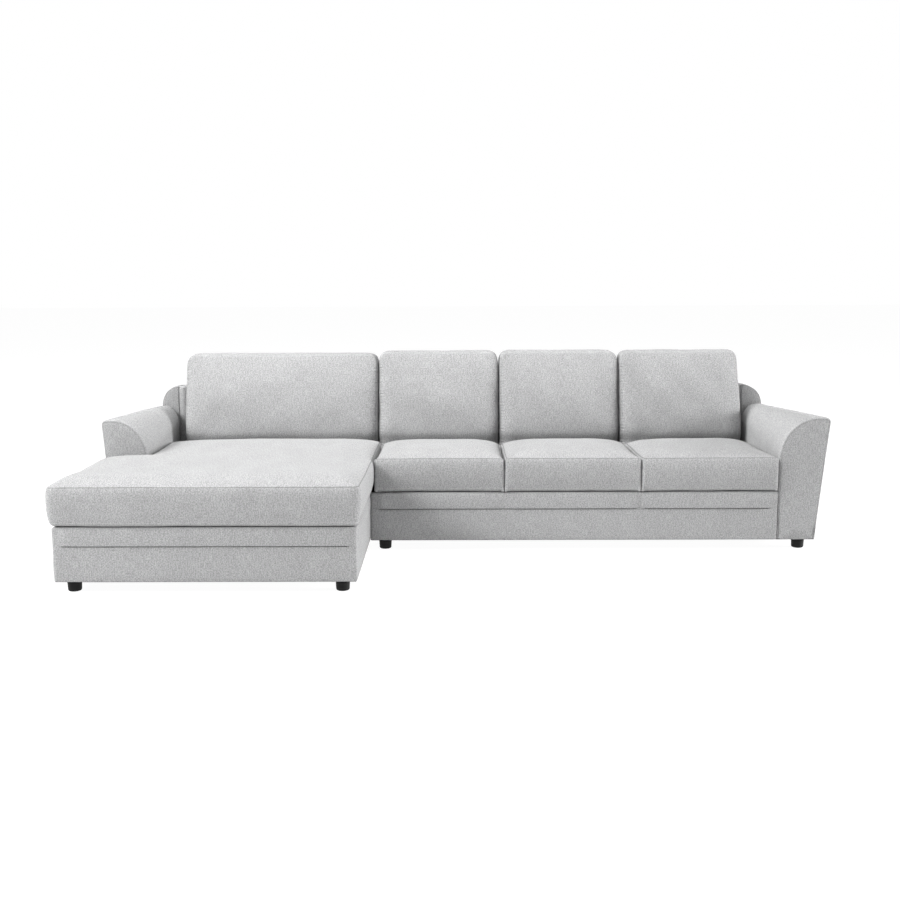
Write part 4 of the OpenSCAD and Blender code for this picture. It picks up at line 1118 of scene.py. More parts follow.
@dataclass
class BackCushion:
    """A loose back cushion that stands on the deck and leans on the raked back.

    Its waist is drawn in above the seat cushion, and the nip is pressed in where the seat meets it.
    """

    name: str
    left: float
    right: float
    seed: int = 1
    top: float = 0.846
    bulge: float = 0.008
    radius: float = 0.042
    foot_radius: float = 0.026
    shoulders: tuple[float, float] = (0.001, 0.001)
    crown: float = 0.036
    run: float = 0.150
    side_run: float = 0.090
    side_share: float = 0.35
    upper_run: float = 0.280
    waist: float = 0.012
    waist_height: float = 0.055
    nip: float = 0.014
    nip_level: float = PLAN.seam - 0.016
    nip_height: float = 0.026
    snug: float = 0.6
    foot_inset: float = 0.010
    rear_held: float = 0.003

    def pinch(self, piece: Piece) -> None:
        """Draws the front in where the seat cushion's rear edge presses on it."""
        p = points_of(piece)
        front = np.clip((PLAN.back_plane(p[:, 2]) - p[:, 1]) / 0.12, 0, 1) ** 2
        p[:, 1] += self.nip * front * np.exp(-(((p[:, 2] - self.nip_level) / self.nip_height) ** 2))
        set_points(piece, p)

    @property
    def foot(self) -> float:
        """Height of the lower seam."""
        return PLAN.seat_foot + self.bulge

    def thickness(self, x: Grid, h: Grid) -> Grid:
        """Thickness at a place across and up the front face."""
        z = self.foot + h
        rows = self.top - self.bulge - self.foot
        inward = np.minimum(x - self.left - self.bulge, self.right - self.bulge - x)
        side = self.side_share + (1 - self.side_share) * rise(inward, self.side_run)
        full = side * rise(h, self.run) * rise(rows - h, self.upper_run)
        squeezed = self.waist * np.exp(-(((z - PLAN.seam + 0.02) / self.waist_height) ** 2))
        return PLAN.back_plane(z) - PLAN.clear - PLAN.front_line(z) - self.crown * (1 - full) - squeezed

    def place(self, p: Grid) -> Grid:
        """From places on the cushion's own face to places on the sofa."""
        z = self.foot + p[:, 1]
        middle, half = (self.left + self.right) / 2, (self.right - self.left) / 2
        upper = np.clip((z - PLAN.seam) / (self.top - PLAN.seam), 0, 1) ** 1.5
        share = (p[:, 0] - middle) / half
        x = p[:, 0] - np.where(share < 0, *self.shoulders) * upper * share**5
        return np.column_stack((x, PLAN.back_plane(z) - PLAN.clear - p[:, 2], z))

    def settle(self, piece: Piece) -> None:
        """Flattens the cushion against its neighbours, the back, the deck and the seat cushion's rear."""
        p = points_of(piece)
        p[:, 0] = np.clip(p[:, 0], self.left, self.right)
        p[:, 2] = np.clip(p[:, 2], PLAN.seat_foot, self.top)
        p[:, 1] = np.minimum(p[:, 1], PLAN.back_plane(p[:, 2]) - PLAN.clear)
        low = p[:, 2] < PLAN.bend + 0.012
        p[low, 1] = np.maximum(p[low, 1], PLAN.seat_rear + PLAN.gap)
        set_points(piece, p)

    def build(self, shop: Workshop) -> None:
        """Builds the cover, fills it, sews its seams and lays the foam in it."""
        a, b = self.left + self.bulge, self.right - self.bulge
        rows = self.top - self.bulge - self.foot
        corners = [(a, 0, 1, 1, self.foot_radius), (b, 0, -1, 1, self.foot_radius),
                   (b, rows, -1, -1, self.radius), (a, rows, 1, -1, self.radius)]
        node = self.name + "_cushion"
        form = PaddedForm(node, [a, b], [0, rows], corners, self.thickness, 0.0, BACK_SIDE, self.foot_inset,
                          self.snug, place=self.place, pull=(0.001, 0.004))
        piece = form.build()
        p = points_of(piece)
        rear = np.flatnonzero(p[:, 1] > PLAN.back_plane(p[:, 2]) - self.rear_held)
        held = np.concatenate((form.rings[0], form.rings[-2], rear))
        Filling(cap=0.012).swell(piece, held)
        self.pinch(piece)
        sewn = (form.rings[0], form.rings[-2])
        seams = [below(ring_line(piece, ring), self.top - self.radius) for ring in sewn]
        ripple(piece, height=0.0016, length=0.20, seed=self.seed)
        draw_in(piece, mark_seams(piece, seams), fine=0.0030, broad=0.0030)
        self.settle(piece)
        lay_cloth(piece)
        soften(piece)
        dress(piece, shop.finishes.back_fabric, self.name, [node])
        self.foam(shop)

    def foam(self, shop: Workshop) -> None:
        """Lays the wedge of foam in the cover, a little inside the solid part's outline."""
        node = self.name + "_foam"
        low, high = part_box(node)
        r, rear_gap, front_gap = 0.008, 0.025, 0.016
        a, b, rows = low[0] + r, high[0] - r, high[2] - low[2] - 2 * r

        def depth(x: Grid, h: Grid) -> Grid:
            """Thickness of the foam at a place across and up its face."""
            z = low[2] + r + h
            front = PLAN.front_line(z) + self.crown + front_gap
            return PLAN.back_plane(z) - rear_gap - front

        def place(p: Grid) -> Grid:
            """From places on the foam's face to places on the sofa."""
            z = low[2] + r + p[:, 1]
            return np.column_stack((p[:, 0], PLAN.back_plane(z) - rear_gap - p[:, 2], z))

        side = ((0.97, 0.004), (0.90, 0.0075), (0.5, 0.008), (0.10, 0.0075), (0.03, 0.004))
        form = PaddedForm(node + "_block", [a, b], [0, rows], [], depth, 0.0, side, 0.0, step=0.06,
                          place=place)
        piece = form.build()
        lay_cloth(piece)
        dress(piece, shop.finishes.foam, self.name, [node])


@dataclass
class Cover:
    """Fabric stretched over a frame: an outer skin and an inner one, joined along all open edges.

    A row of the cover is a section of the form. A row with a fill below 1 lies on an end panel, part of the
    way from the foot of the panel to its outline.
    """

    name: str
    section: Callable[[float, float], Grid]
    start: float
    end: float
    skin: float
    panels: tuple[bool, bool] = (True, True)
    edge: float = 0.006
    step: float = 0.03
    stops: Sequence[float] = ()
    opened: Callable[[Grid], Grid] | None = None
    place: Callable[[Grid], Grid] | None = None
    edges: list[Grid] = field(default_factory=list)

    # Rows of an end panel, as shares of the way from its foot to its outline
    FILLS = (0.0, 0.1, 0.2, 0.3, 0.4, 0.5, 0.6, 0.7, 0.78, 0.85, 0.91, 0.95, 0.975, 0.99)

    def rows(self) -> list[tuple[float, float, float]]:
        """Rows as place along the form, inset and fill."""
        angles = [math.pi / 2 * k / 4 for k in range(5)]
        front = [(self.edge * (1 - math.cos(t)), self.edge * (1 - math.sin(t))) for t in angles]
        rows: list[tuple[float, float, float]] = []
        if self.panels[0]:
            rows += [(self.start, self.edge, f) for f in self.FILLS]
            rows += [(self.start + d, w, 1.0) for d, w in front[:-1]]
        low = self.start + (self.edge if self.panels[0] else 0)
        high = self.end - (self.edge if self.panels[1] else 0)
        marks = [low, *self.stops, high]
        for a, b in zip(marks[:-1], marks[1:]):
            rows += [(y, 0.0, 1.0) for y in spread(a, b, self.step)[:-1]]
        rows.append((high, 0.0, 1.0))
        if self.panels[1]:
            rows += [(self.end - d, w, 1.0) for d, w in reversed(front[:-1])]
            rows += [(self.end, self.edge, f) for f in reversed(self.FILLS)]
        return rows

    @staticmethod
    def filled(outline: Grid, fill: float) -> Grid:
        """The outline drawn down towards its foot, column by column."""
        if fill == 1.0:
            return outline
        steps = np.linalg.norm(np.diff(outline, axis=0), axis=1)
        share = np.concatenate(([0], np.cumsum(steps))) / steps.sum()
        first, last = outline[0, 0], outline[-1, 0]
        foot = np.column_stack((first + (last - first) * share, np.full(len(outline), outline[-1, 1])))
        return foot + (outline - foot) * fill

    def layer(self, inner: bool) -> Grid:
        """All rows of the outer or the inner skin."""
        grid = []
        for along, inset, fill in self.rows():
            if inner:
                inset = self.skin
                low = self.start + (self.skin if self.panels[0] else 0)
                high = self.end - (self.skin if self.panels[1] else 0)
                along = min(max(along, low), high)
            line = self.filled(self.section(along, inset), fill)
            grid.append(np.column_stack((line[:, 0], np.full(len(line), along), line[:, 1])))
        return np.array(grid)

    def build(self) -> Piece:
        """Builds the closed cover.

        Returns:
            The piece. The lines of its panel edges are kept for its seams.
        """
        outer, inner = self.layer(False), self.layer(True)
        rows, cols = outer.shape[:2]
        middle = (outer[:-1, :-1] + outer[1:, :-1] + outer[1:, 1:] + outer[:-1, 1:]) / 4
        kept = np.ones((rows - 1, cols - 1), bool)
        if self.opened:
            kept &= ~self.opened(middle)
        faces: list[list[int]] = []
        shift = rows * cols
        for j in range(rows - 1):
            for i in range(cols - 1):
                if not kept[j, i]:
                    continue
                a = j * cols + i
                cell = [a, a + 1, a + cols + 1, a + cols]
                faces.append(cell)
                faces.append([k + shift for k in reversed(cell)])
                sides = (((j - 1, i), 0, 1), ((j, i + 1), 1, 2), ((j + 1, i), 2, 3), ((j, i - 1), 3, 0))
                for (nj, ni), p, q in sides:
                    if not (0 <= nj < rows - 1 and 0 <= ni < cols - 1 and kept[nj, ni]):
                        faces.append([cell[q], cell[p], cell[p] + shift, cell[q] + shift])
        points = np.concatenate((outer.reshape(-1, 3), inner.reshape(-1, 3)))
        fills = [f for _, _, f in self.rows()]
        tube = [k for k, f in enumerate(fills) if f == 1.0]
        if self.panels[0]:
            self.edges.append(outer[tube[0]])
        if self.panels[1]:
            self.edges.append(outer[tube[-1]])
        if self.place:
            points = self.place(points)
            self.edges = [self.place(line) for line in self.edges]
        piece = add_piece(self.name, points, faces)
        close_up(piece, weld=4e-5)
        return piece


def mirrored(p: Grid) -> Grid:
    """The same places on the other side of the sofa."""
    return p * (-1, 1, 1)


@dataclass
class Arm:
    """A flared arm whose top falls and narrows towards the back."""

    name: str
    front: float
    top_front: float
    mirror: bool
    top_back: float = 0.5745
    flare: float = 0.0515
    lean: float = 0.071
    shoulder_front: float = 0.189
    shoulder_back: float = 0.094
    r_front: float = 0.024
    r_back: float = 0.025
    flat_front: float = 0.030
    flat_back: float = 0.012
    skin: float = 0.014
    window: float = 0.240

    def section(self, y: float, w: float) -> Grid:
        """Section at y, inset by w, from the inner foot over the top to the outer foot."""
        t = (y - PLAN.front) / (PLAN.back_face - PLAN.front)
        fall = (self.top_back - self.top_front) * (y - self.front) / (PLAN.back_face - self.front)
        top = self.top_front + fall
        out = PLAN.right + self.flare + (-self.lean - self.flare) * t
        r = self.r_front + (self.r_back - self.r_front) * t
        shoulder = self.shoulder_front + (self.shoulder_back - self.shoulder_front) * t
        mid = out - r - self.flat_front - (self.flat_back - self.flat_front) * t
        lean = math.atan((out - PLAN.right) / (top - r - PLAN.base_foot))
        x0, z0 = PLAN.arm_in + w, PLAN.base_foot
        line = [(x0, z) for z in spread(z0, self.window, 0.04)[:-1]]
        line += [(x0, z) for z in np.linspace(self.window, top - shoulder, 10)[:-1]]
        for a in np.linspace(math.pi, math.pi / 2, 30):
            line.append((mid + (mid - x0) * math.cos(a), top - shoulder + (shoulder - w) * math.sin(a)))
        r_in = max(r - w, 0.003)
        cx, cz = out - w - r_in, top - w - r_in
        for a in np.linspace(math.pi / 2, -lean, 14):
            line.append((cx + r_in * math.cos(a), cz + r_in * math.sin(a)))
        x1, z1 = line[-1]
        line += [(x1 + (PLAN.right - w - x1) * s, z1 + (z0 - z1) * s) for s in np.linspace(0, 1, 20)[1:]]
        return np.array(line)

    def build(self, shop: Workshop) -> None:
        """Builds the cover, sews its front panel in and dresses it."""
        end = PLAN.back_face - PLAN.gap
        rim = 0.018
        low, high = self.front + self.skin + rim, end - self.skin - rim

        def opened(middle: Grid) -> Grid:
            """Cells of the window on the inner side, beside the seat frame."""
            inner = (middle[..., 0] < PLAN.arm_in + 0.002) & (middle[..., 2] < self.window)
            return inner & (middle[..., 1] > low) & (middle[..., 1] < high)

        cover = Cover(self.name + "_cover_fabric", self.section, self.front, end, self.skin, edge=0.010,
                      stops=(low, high), opened=opened, place=mirrored if self.mirror else None)
        piece = cover.build()
        ripple(piece, height=0.0007, length=0.25, seed=3)
        draw_in(piece, mark_seams(piece, cover.edges), fine=0.0022, broad=0.0022)
        p = points_of(piece)
        side = -1 if self.mirror else 1
        p[:, 0] = side * np.maximum(side * p[:, 0], PLAN.arm_in)
        p[:, 1] = np.minimum(p[:, 1], PLAN.back_face - PLAN.gap)
        p[:, 2] = np.maximum(p[:, 2], PLAN.base_foot)
        set_points(piece, p)
        upholster(piece, shop.finishes.fabric, self.name + "_cover")


def fall_back(p: Grid, fall: float = 0.014, sideways: float = 0.006, start: float = 0.54) -> Grid:
    """Lets the crests of the backs and wings fall towards the rear and towards their outer ends."""
    p = p.copy()
    share = np.clip((p[:, 1] - PLAN.back_face) / (PLAN.back - PLAN.back_face), 0, 1)
    end_run = 0.056
    end = np.clip((abs(p[:, 0]) - PLAN.arm_in + end_run) / end_run, 0, 1) ** 2
    drop = np.maximum(fall * share, sideways * end)
    p[:, 2] -= drop * np.clip((p[:, 2] - start) / (PLAN.back_top - start), 0, 1)
    return p


@dataclass
class Wing:
    """The rounded outer end of a back, which stands above the arm.

    A slim wing is drawn in above the arm: fully at its front, and less from the board on that it covers.
    """

    name: str
    mirror: bool
    radius: float = 0.107
    lean_in: float = 0.0705
    open_top: float = 0.6615
    slim: float = 0.0
    slim_from: float = 0.42
    slim_rise: float = 0.15
    board_depth: float = 0.06
    board_share: float = 0.55

    def section(self, y: float, w: float) -> Grid:
        """Outline inset by w, from the inner foot up beside the back and over to the outer foot."""
        x0 = PLAN.arm_in + PLAN.gap
        out = PLAN.right - self.lean_in
        r = min(self.radius, out - x0 - w - 0.00001)
        lean = math.atan(self.lean_in / (PLAN.back_top - r - PLAN.base_foot))
        line = [(x0 + w, z) for z in spread(PLAN.base_foot, self.open_top, 0.04)]
        line.append((x0 + w, PLAN.back_top - w))
        for a in np.linspace(math.pi / 2, -lean, 30):
            line.append((out - r + (r - w) * math.cos(a), PLAN.back_top - r + (r - w) * math.sin(a)))
        x1, z1 = line[-1]
        foot = PLAN.right - w
        line += [(x1 + (foot - x1) * s, z1 + (PLAN.base_foot - z1) * s) for s in np.linspace(0, 1, 24)[1:]]
        return np.array(line)

    def build(self, shop: Workshop) -> None:
        """Builds the cover, whose inner side is open behind the raked back."""
        open_y = PLAN.back_face + PLAN.rake + 0.004

        def opened(middle: Grid) -> Grid:
            """Cells of the inner side that lie behind the raked back."""
            inner = (middle[..., 0] < PLAN.arm_in + PLAN.gap + 0.0005) & (middle[..., 2] < self.open_top)
            return inner & (middle[..., 1] > open_y) & (middle[..., 1] < PLAN.back - PLAN.skin)

        front = PLAN.back_face + PLAN.gap
        cover = Cover(self.name + "_cover_fabric", self.section, front, PLAN.back, PLAN.skin, step=0.025,
                      edge=0.003, stops=(open_y, PLAN.back - PLAN.skin), opened=opened,
                      place=mirrored if self.mirror else None)
        piece = cover.build()
        draw_in(piece, mark_seams(piece, cover.edges), fine=0.0008, broad=0.0008)
        p = points_of(piece)
        side = -1 if self.mirror else 1
        over_board = np.clip((p[:, 1] - PLAN.back_face) / self.board_depth, 0, 1)
        tight = self.slim * (1 - self.board_share * over_board)
        slim = 1 - tight * np.clip((p[:, 2] - self.slim_from) / self.slim_rise, 0, 1)
        p[:, 0] = side * (PLAN.arm_in + np.maximum(side * p[:, 0] - PLAN.arm_in, PLAN.gap) * slim)
        p[:, 1] = np.clip(p[:, 1], front, PLAN.back)
        p[:, 2] = np.maximum(p[:, 2], PLAN.base_foot)
        set_points(piece, fall_back(p))
        upholster(piece, shop.finishes.fabric, self.name + "_cover")


@dataclass
class Back:
    """The raked back of one unit, open towards its wing."""

    name: str
    inner: float
    outer: float
    roll: float
    seams: Sequence[float] = ()
    r: float = 0.018
    crest_seam: float = 0.024
    roll_edge: float = 0.012
    slot_top: float = PLAN.rail_top + 0.006

    def rolled(self, p: Grid) -> Grid:
        """Pads the raked face out beside the wing, up to the side of the back cushion."""
        p = p.copy()
        out = self.roll - abs(p[:, 0] - self.outer)
        plane = PLAN.back_plane(p[:, 2])
        share = np.sqrt(np.clip(out / self.roll_edge, 0, 1)) * (p[:, 1] < plane + 0.035)
        p[:, 1] -= share * np.maximum(0, plane - PLAN.back_face - 0.004)
        return p

    def section(self, x: float, w: float) -> Grid:
        """Profile inset by w, as y and z, from the front foot over the crest to the rear foot."""
        lean = math.atan(PLAN.rake / (PLAN.back_top - PLAN.base_top))
        r = max(self.r - w, 0.004)
        z = PLAN.back_top - w - r
        y_in = float(PLAN.back_plane(np.array(z))) + (w + r) / math.cos(lean)
        levels = (PLAN.base_foot, 0.1, 0.15, 0.19, self.slot_top, 0.25, PLAN.base_top)
        line = [(PLAN.back_face + w, level) for level in levels]
        turns = np.linspace(math.pi - lean, math.pi / 2, 7)
        crest = [(y_in + r * math.cos(a), z + r * math.sin(a)) for a in turns]
        line += [tuple(p) for p in np.linspace(line[-1], crest[0], 14)[1:-1]]
        line += crest
        rear = PLAN.back - w
        line += [(rear - r + r * math.cos(a), z + r * math.sin(a)) for a in np.linspace(math.pi / 2, 0, 7)]
        line += [(rear, h) for h in np.linspace(z, PLAN.base_foot, 22)[1:]]
        return np.array(line)

    def build(self, shop: Workshop) -> None:
        """Builds the cover with a panel where the two units meet."""
        panel_first = self.inner < self.outer
        start, end = min(self.inner, self.outer), max(self.inner, self.outer)

        def opened(middle: Grid) -> Grid:
            """Cells of the slot in front, where the seat frame meets the back frame."""
            front = (middle[..., 0] < PLAN.back_face + 0.002) & (middle[..., 2] < self.slot_top)
            return front & (abs(middle[..., 1] - self.inner) > PLAN.skin)

        wall = self.inner + (PLAN.skin if panel_first else -PLAN.skin)
        toward = -1 if panel_first else 1
        marks = [self.outer + toward * (self.roll - d) for d in (0.0, 0.002, 0.006, self.roll_edge)]
        cover = Cover(self.name + "_cover_fabric", self.section, start, end, PLAN.skin,
                      panels=(panel_first, not panel_first), edge=0.003, stops=sorted([wall, *marks]),
                      opened=opened, place=lambda p: p[:, (1, 0, 2)])
        piece = cover.build()
        seams = list(cover.edges)
        for x in self.seams:
            line = self.section(x, 0.0)
            rear = line[line[:, 0] > PLAN.back - 0.0001]
            seams.append(np.column_stack((np.full(len(rear), x), rear)))
        crest = PLAN.back_top - self.crest_seam
        seams.append(np.array([(x, PLAN.back, crest) for x in spread(start, end, 0.03)]))
        draw_in(piece, mark_seams(piece, seams), fine=0.0008, broad=0.0010)
        p = points_of(piece)
        p[:, 0] = np.clip(p[:, 0], start, end)
        p[:, 1] = np.maximum(p[:, 1], PLAN.back_plane(p[:, 2]))
        p[:, 2] = np.maximum(p[:, 2], PLAN.base_foot)
        set_points(piece, fall_back(self.rolled(p)))
        upholster(piece, shop.finishes.fabric, self.name + "_cover")


@dataclass
class Base:
    """The padded apron round one unit's base, with a sewn tuck along it."""

    name: str
    corners: Sequence[Spot]
    tucks: Sequence[Spot]
    radius: float = 0.010
    tuck: float = 0.1915
    tuck_run: float = 0.014
    seams: Sequence[float] = ()

    def path(self) -> tuple[Grid, Grid, Grid]:
        """The apron's line seen from above, round its corners.

        Returns:
            The points, their outward directions, and how far each is along the line.
        """
        points: list[Spot] = []
        normals: list[Spot] = []
        c = [np.array(p) for p in self.corners]
        for k in range(len(c) - 1):
            run = c[k + 1] - c[k]
            length = float(np.linalg.norm(run))
            run = run / length
            out = np.array((run[1], -run[0]))
            low = self.radius if k else 0.0
            high = length - (self.radius if k < len(c) - 2 else 0.0)
            for s in spread(low, high, 0.014):
                points.append(tuple(c[k] + run * s))
                normals.append(tuple(out))
            if k < len(c) - 2:
                after = (c[k + 2] - c[k + 1]) / np.linalg.norm(c[k + 2] - c[k + 1])
                out_after = np.array((after[1], -after[0]))
                centre = c[k + 1] - run * self.radius + after * self.radius
                for t in (0.25, 0.5, 0.75):
                    turn = out * math.cos(t * math.pi / 2) + out_after * math.sin(t * math.pi / 2)
                    points.append(tuple(centre + turn * self.radius))
                    normals.append(tuple(turn))
        line = np.array(points)
        steps = np.linalg.norm(np.diff(line, axis=0), axis=1)
        return line, np.array(normals), np.concatenate(([0], np.cumsum(steps)))

    def share(self, along: Grid) -> Grid:
        """How far the tuck stands out at places along the line, from 0 to 1."""
        total = np.zeros_like(along)
        for a, b in self.tucks:
            ramp = np.clip(np.minimum(along - a, b - along) / self.tuck_run, 0, 1)
            total = np.maximum(total, ramp * ramp * (3 - 2 * ramp))
        return total

    def profile(self, share: float) -> list[Spot]:
        """Section of the apron as distance outwards and height, from its inner foot round to its inner top.

        Args:
            share: How far the tuck stands out, from 0 to 1.

        Returns:
            The points of the section.
        """
        z0, z1, zt = PLAN.base_foot, PLAN.base_top, self.tuck
        lower = (0.12, 0.25, 0.4, 0.55, 0.7, 0.82, 0.92)
        lip = [(-0.0022, 0.0), (-0.0026, 0.0012), (0.0022, 0.0014), (0.0038, 0.0030), (0.0046, 0.0075)]
        line = [(-PLAN.skin, z0), (-0.004, z0), (-0.0012, z0 + 0.0012), (0.0, z0 + 0.005)]
        line += [(0.0016 * math.sin(math.pi * s), z0 + (zt - z0) * s) for s in lower]
        line += [(0.0004 * (1 - share), zt - 0.004), (-0.0012 * share, zt - 0.0012)]
        line += [(d * share, zt + h) for d, h in lip]
        band = [(0.25, 0.0054), (0.42, 0.0058), (0.58, 0.0054), (0.72, 0.0046), (0.84, 0.0030),
                (0.92, 0.0012)]
        line += [(d * share + 0.0006 * (1 - share), zt + (z1 - zt) * s) for s, d in band]
        line += [(-0.0008, z1 - 0.0050), (-0.0030, z1 - 0.0020), (-0.0065, z1 - 0.0004)]
        return line + [(-0.009, z1), (-PLAN.skin, z1)]

    def build(self, shop: Workshop) -> None:
        """Sweeps the section along the line and sews the tuck."""
        line, out, along = self.path()
        share = self.share(along)
        rows = [np.array(self.profile(float(s))) for s in share]
        count = len(rows[0])
        inner = np.array([(-PLAN.skin, z) for z in np.linspace(PLAN.base_top, PLAN.base_foot, 6)[1:-1]])
        ring = count + len(inner)
        points = []
        for place, normal, row in zip(line, out, rows):
            for d, z in np.vstack((row, inner)):
                points.append((*(place + normal * d), z))
        piece = add_piece(self.name + "_base_cover_fabric", points, swept_faces(len(rows), ring))
        close_up(piece)
        # Lines along which the base fabric paints shade: the upright seams, set a little off them to keep it
        # faint, and the folds of the tucks
        levels = spread(PLAN.base_foot, PLAN.base_top, 0.02)
        seam_y = self.corners[0][1] + 0.003
        seams = [np.array([(x, seam_y, z) for z in levels]) for x in self.seams]
        for a, b in self.tucks:
            inside = np.flatnonzero((along >= a + 0.004) & (along <= b - 0.004))
            fold = line[inside] - out[inside] * 0.0015
            seams.append(np.column_stack((fold, np.full(len(inside), self.tuck + 0.0004))))
        mark_seams(piece, seams)
        upholster(piece, shop.finishes.base_fabric, self.name + "_base_cover")


@dataclass
class Deck:
    """The sprung deck pad under the seat cushions, with its lining cloth."""

    name: str
    x_stops: Sequence[float]
    y_stops: Sequence[float]
    notch: tuple[float, float] | None = None
    r: float = 0.006
    dip: float = 0.0015
    wave_x: float = 0.155
    wave_y: float = 0.31

    def build(self, shop: Workshop) -> None:
        """Builds a thin pad with eased edges that dips slightly between the springs."""
        xs, ys = list(self.x_stops), list(self.y_stops)
        xs[0] += self.r
        xs[-1] -= self.r
        ys[0] += self.r
        ys[-1] -= self.r
        notch = None
        if self.notch:
            notch = (self.notch[0] + self.r, self.notch[1] - self.r)
            xs[1], ys[1] = notch

        def height(x: Grid, y: Grid) -> Grid:
            """Height of the deck's top."""
            wave = np.sin(x * 2 * math.pi / self.wave_x) * np.sin(y * 2 * math.pi / self.wave_y)
            inside = np.clip(np.minimum(x - xs[0], xs[-1] - x) / 0.1, 0, 1)
            return PLAN.base_top - self.dip * (1 + wave) * inside

        side = eased(self.r, PLAN.base_top - PLAN.deck_foot)
        form = PaddedForm(self.name + "_deck_lining", xs, ys, [], height, PLAN.deck_foot, side, 0.0,
                          step=0.03, notch=notch)
        piece = form.build()
        lay_cloth(piece)
        dress(piece, shop.finishes.lining, "sofa", [self.name + "_deck_pad"])


def cut_lines(start: float, end: float, middles: Sequence[float], hole: float) -> Grid:
    """Grid lines of a cloth from start to end, with one at each side of each hole.

    Args:
        start: Place of the first line.
        end: Place of the last line.
        middles: Middles of the holes.
        hole: Half the width of a hole.

    Returns:
        The places of all lines, in rising order.
    """
    cuts = sorted({round(middle + s * hole, 6) for middle in middles for s in (-1, 1)})
    places = {v for a, b in zip([start, *cuts], [*cuts, end]) for v in spread(a, b, 0.04)}
    lines = np.array(sorted(places))
    return lines[np.concatenate(([True], np.diff(lines) > 1e-5))]


@dataclass
class DustCloth:
    """Thin black cloth stapled under one unit."""

    name: str
    left: float
    right: float
    front: float
    feet: Sequence[Spot]
    margin: float = 0.004
    hole: float = 0.0046
    sag: float = 0.004
    flat_rim: float = 0.09
    rim_run: float = 0.18
    flat_foot: float = 0.06
    foot_run: float = 0.12
    staple_inset: float = 0.014

    def height(self, x: Grid, y: Grid) -> Grid:
        """The cloth hangs down a little away from its edges and the feet."""
        across = np.minimum(x - self.left, self.right - x)
        edge = np.minimum(across, np.minimum(y - self.front, PLAN.back - y))
        clear = np.clip((edge - self.flat_rim) / self.rim_run, 0, 1)
        for fx, fy in self.feet:
            away = np.hypot(x - fx, y - fy)
            clear = clear * np.clip((away - self.flat_foot) / self.foot_run, 0, 1)
        return PLAN.base_foot - PLAN.gap - self.sag * clear * clear * (3 - 2 * clear)

    def build(self, shop: Workshop) -> None:
        """Stretches the cloth and staples its edge."""
        x0, x1 = self.left + self.margin, self.right - self.margin
        y0, y1 = self.front + self.margin, PLAN.back - self.margin
        xs = cut_lines(x0, x1, [fx for fx, _ in self.feet], self.hole)
        ys = cut_lines(y0, y1, [fy for _, fy in self.feet], self.hole)
        gx, gy = np.meshgrid(xs, ys)
        points = np.stack((gx, gy, self.height(gx, gy)), axis=-1).reshape(-1, 3)
        n = len(xs)
        faces = []
        for j in range(len(ys) - 1):
            for i in range(n - 1):
                cx, cy = (xs[i] + xs[i + 1]) / 2, (ys[j] + ys[j + 1]) / 2
                if any(abs(cx - fx) < self.hole and abs(cy - fy) < self.hole for fx, fy in self.feet):
                    continue
                a = j * n + i
                faces.append([a, a + n, a + n + 1, a + 1])
        piece = add_piece(self.name + "_dust_cloth", points, faces)
        for face in piece.data.polygons:
            face.use_smooth = True
        wall = piece.modifiers.new("Cloth", "SOLIDIFY")
        wall.thickness = 0.0007
        wall.offset = 0
        dress(piece, shop.finishes.dust_cloth, "sofa", [self.name + "_dust_cover"])
        z = PLAN.base_foot - 0.0012
        a, b = x0 + self.staple_inset, x1 - self.staple_inset
        c, d = y0 + self.staple_inset, y1 - self.staple_inset
        loop = np.array([(a, c, z), (b, c, z), (b, d, z), (a, d, z), (a, c, z)])
        staples = shop.staples.run(self.name + "_staples", [loop], shop.staple_sizes, shop.finishes.steel)
        dress(staples, shop.finishes.steel, "sofa")


@dataclass
class BackWebbing:
    """Upright elastic straps on the front of a back frame."""

    name: str
    posts: Sequence[float]
    width: float = 0.060
    thickness: float = 0.0014
    foot: float = 0.281
    top: float = 0.6337
    depth: float = 0.0142
    end_gap: float = 0.055
    pitch: float = 0.12
    cells: int = 12

    def build(self, shop: Workshop) -> None:
        """Builds the straps, which follow the rake from the lower rail to the upper one."""
        ring = ((-1, 0), (-0.96, -1), (0.96, -1), (1, 0), (0.96, 0), (-0.96, 0))
        points: list[tuple[float, float, float]] = []
        faces: list[list[int]] = []
        for a, b in zip(self.posts[:-1], self.posts[1:]):
            for x in spread(a + self.end_gap, b - self.end_gap, self.pitch):
                start = len(points)
                for s in np.linspace(0, 1, self.cells + 1):
                    z = self.foot + (self.top - self.foot) * s
                    y = float(PLAN.back_plane(np.array(z))) + self.depth
                    points += [(x + dx * self.width / 2, y + dy * self.thickness, z) for dx, dy in ring]
                faces += swept_faces(self.cells + 1, len(ring), start)
        piece = add_piece(self.name + "_back_straps", points, faces)
        close_up(piece)
        dress(piece, shop.finishes.webbing, "sofa", [self.name + "_back_webbing"])


@dataclass
class FrameFinish:
    """Materials of the timber, the springs, the fasteners and the feet."""

    timber: Sequence[str] = ("chaise_seat_frame", "sofa_seat_frame", "left_arm_frame", "right_arm_frame",
                             "chaise_back_frame", "sofa_back_frame", "corner_blocks")
    steel: Sequence[str] = ("chaise_springs", "sofa_springs", "chaise_spring_clips", "sofa_spring_clips",
                            "foot_bolts", "foot_nuts", "frame_bolts", "frame_nuts", "link_plates",
                            "link_screws")
    plastic: Sequence[str] = ("feet",)

    def paint(self, shop: Workshop) -> None:
        """Gives each solid part its material."""
        finishes = shop.finishes
        for names, material in ((self.timber, finishes.timber), (self.steel, finishes.steel),
                                (self.plastic, finishes.plastic)):
            for name in names:
                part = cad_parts[name]
                if not part.material_slots:
                    part.data.materials.append(material)
                for slot in part.material_slots:
                    slot.material = material
                log.info("%s in %s", name, material.name)


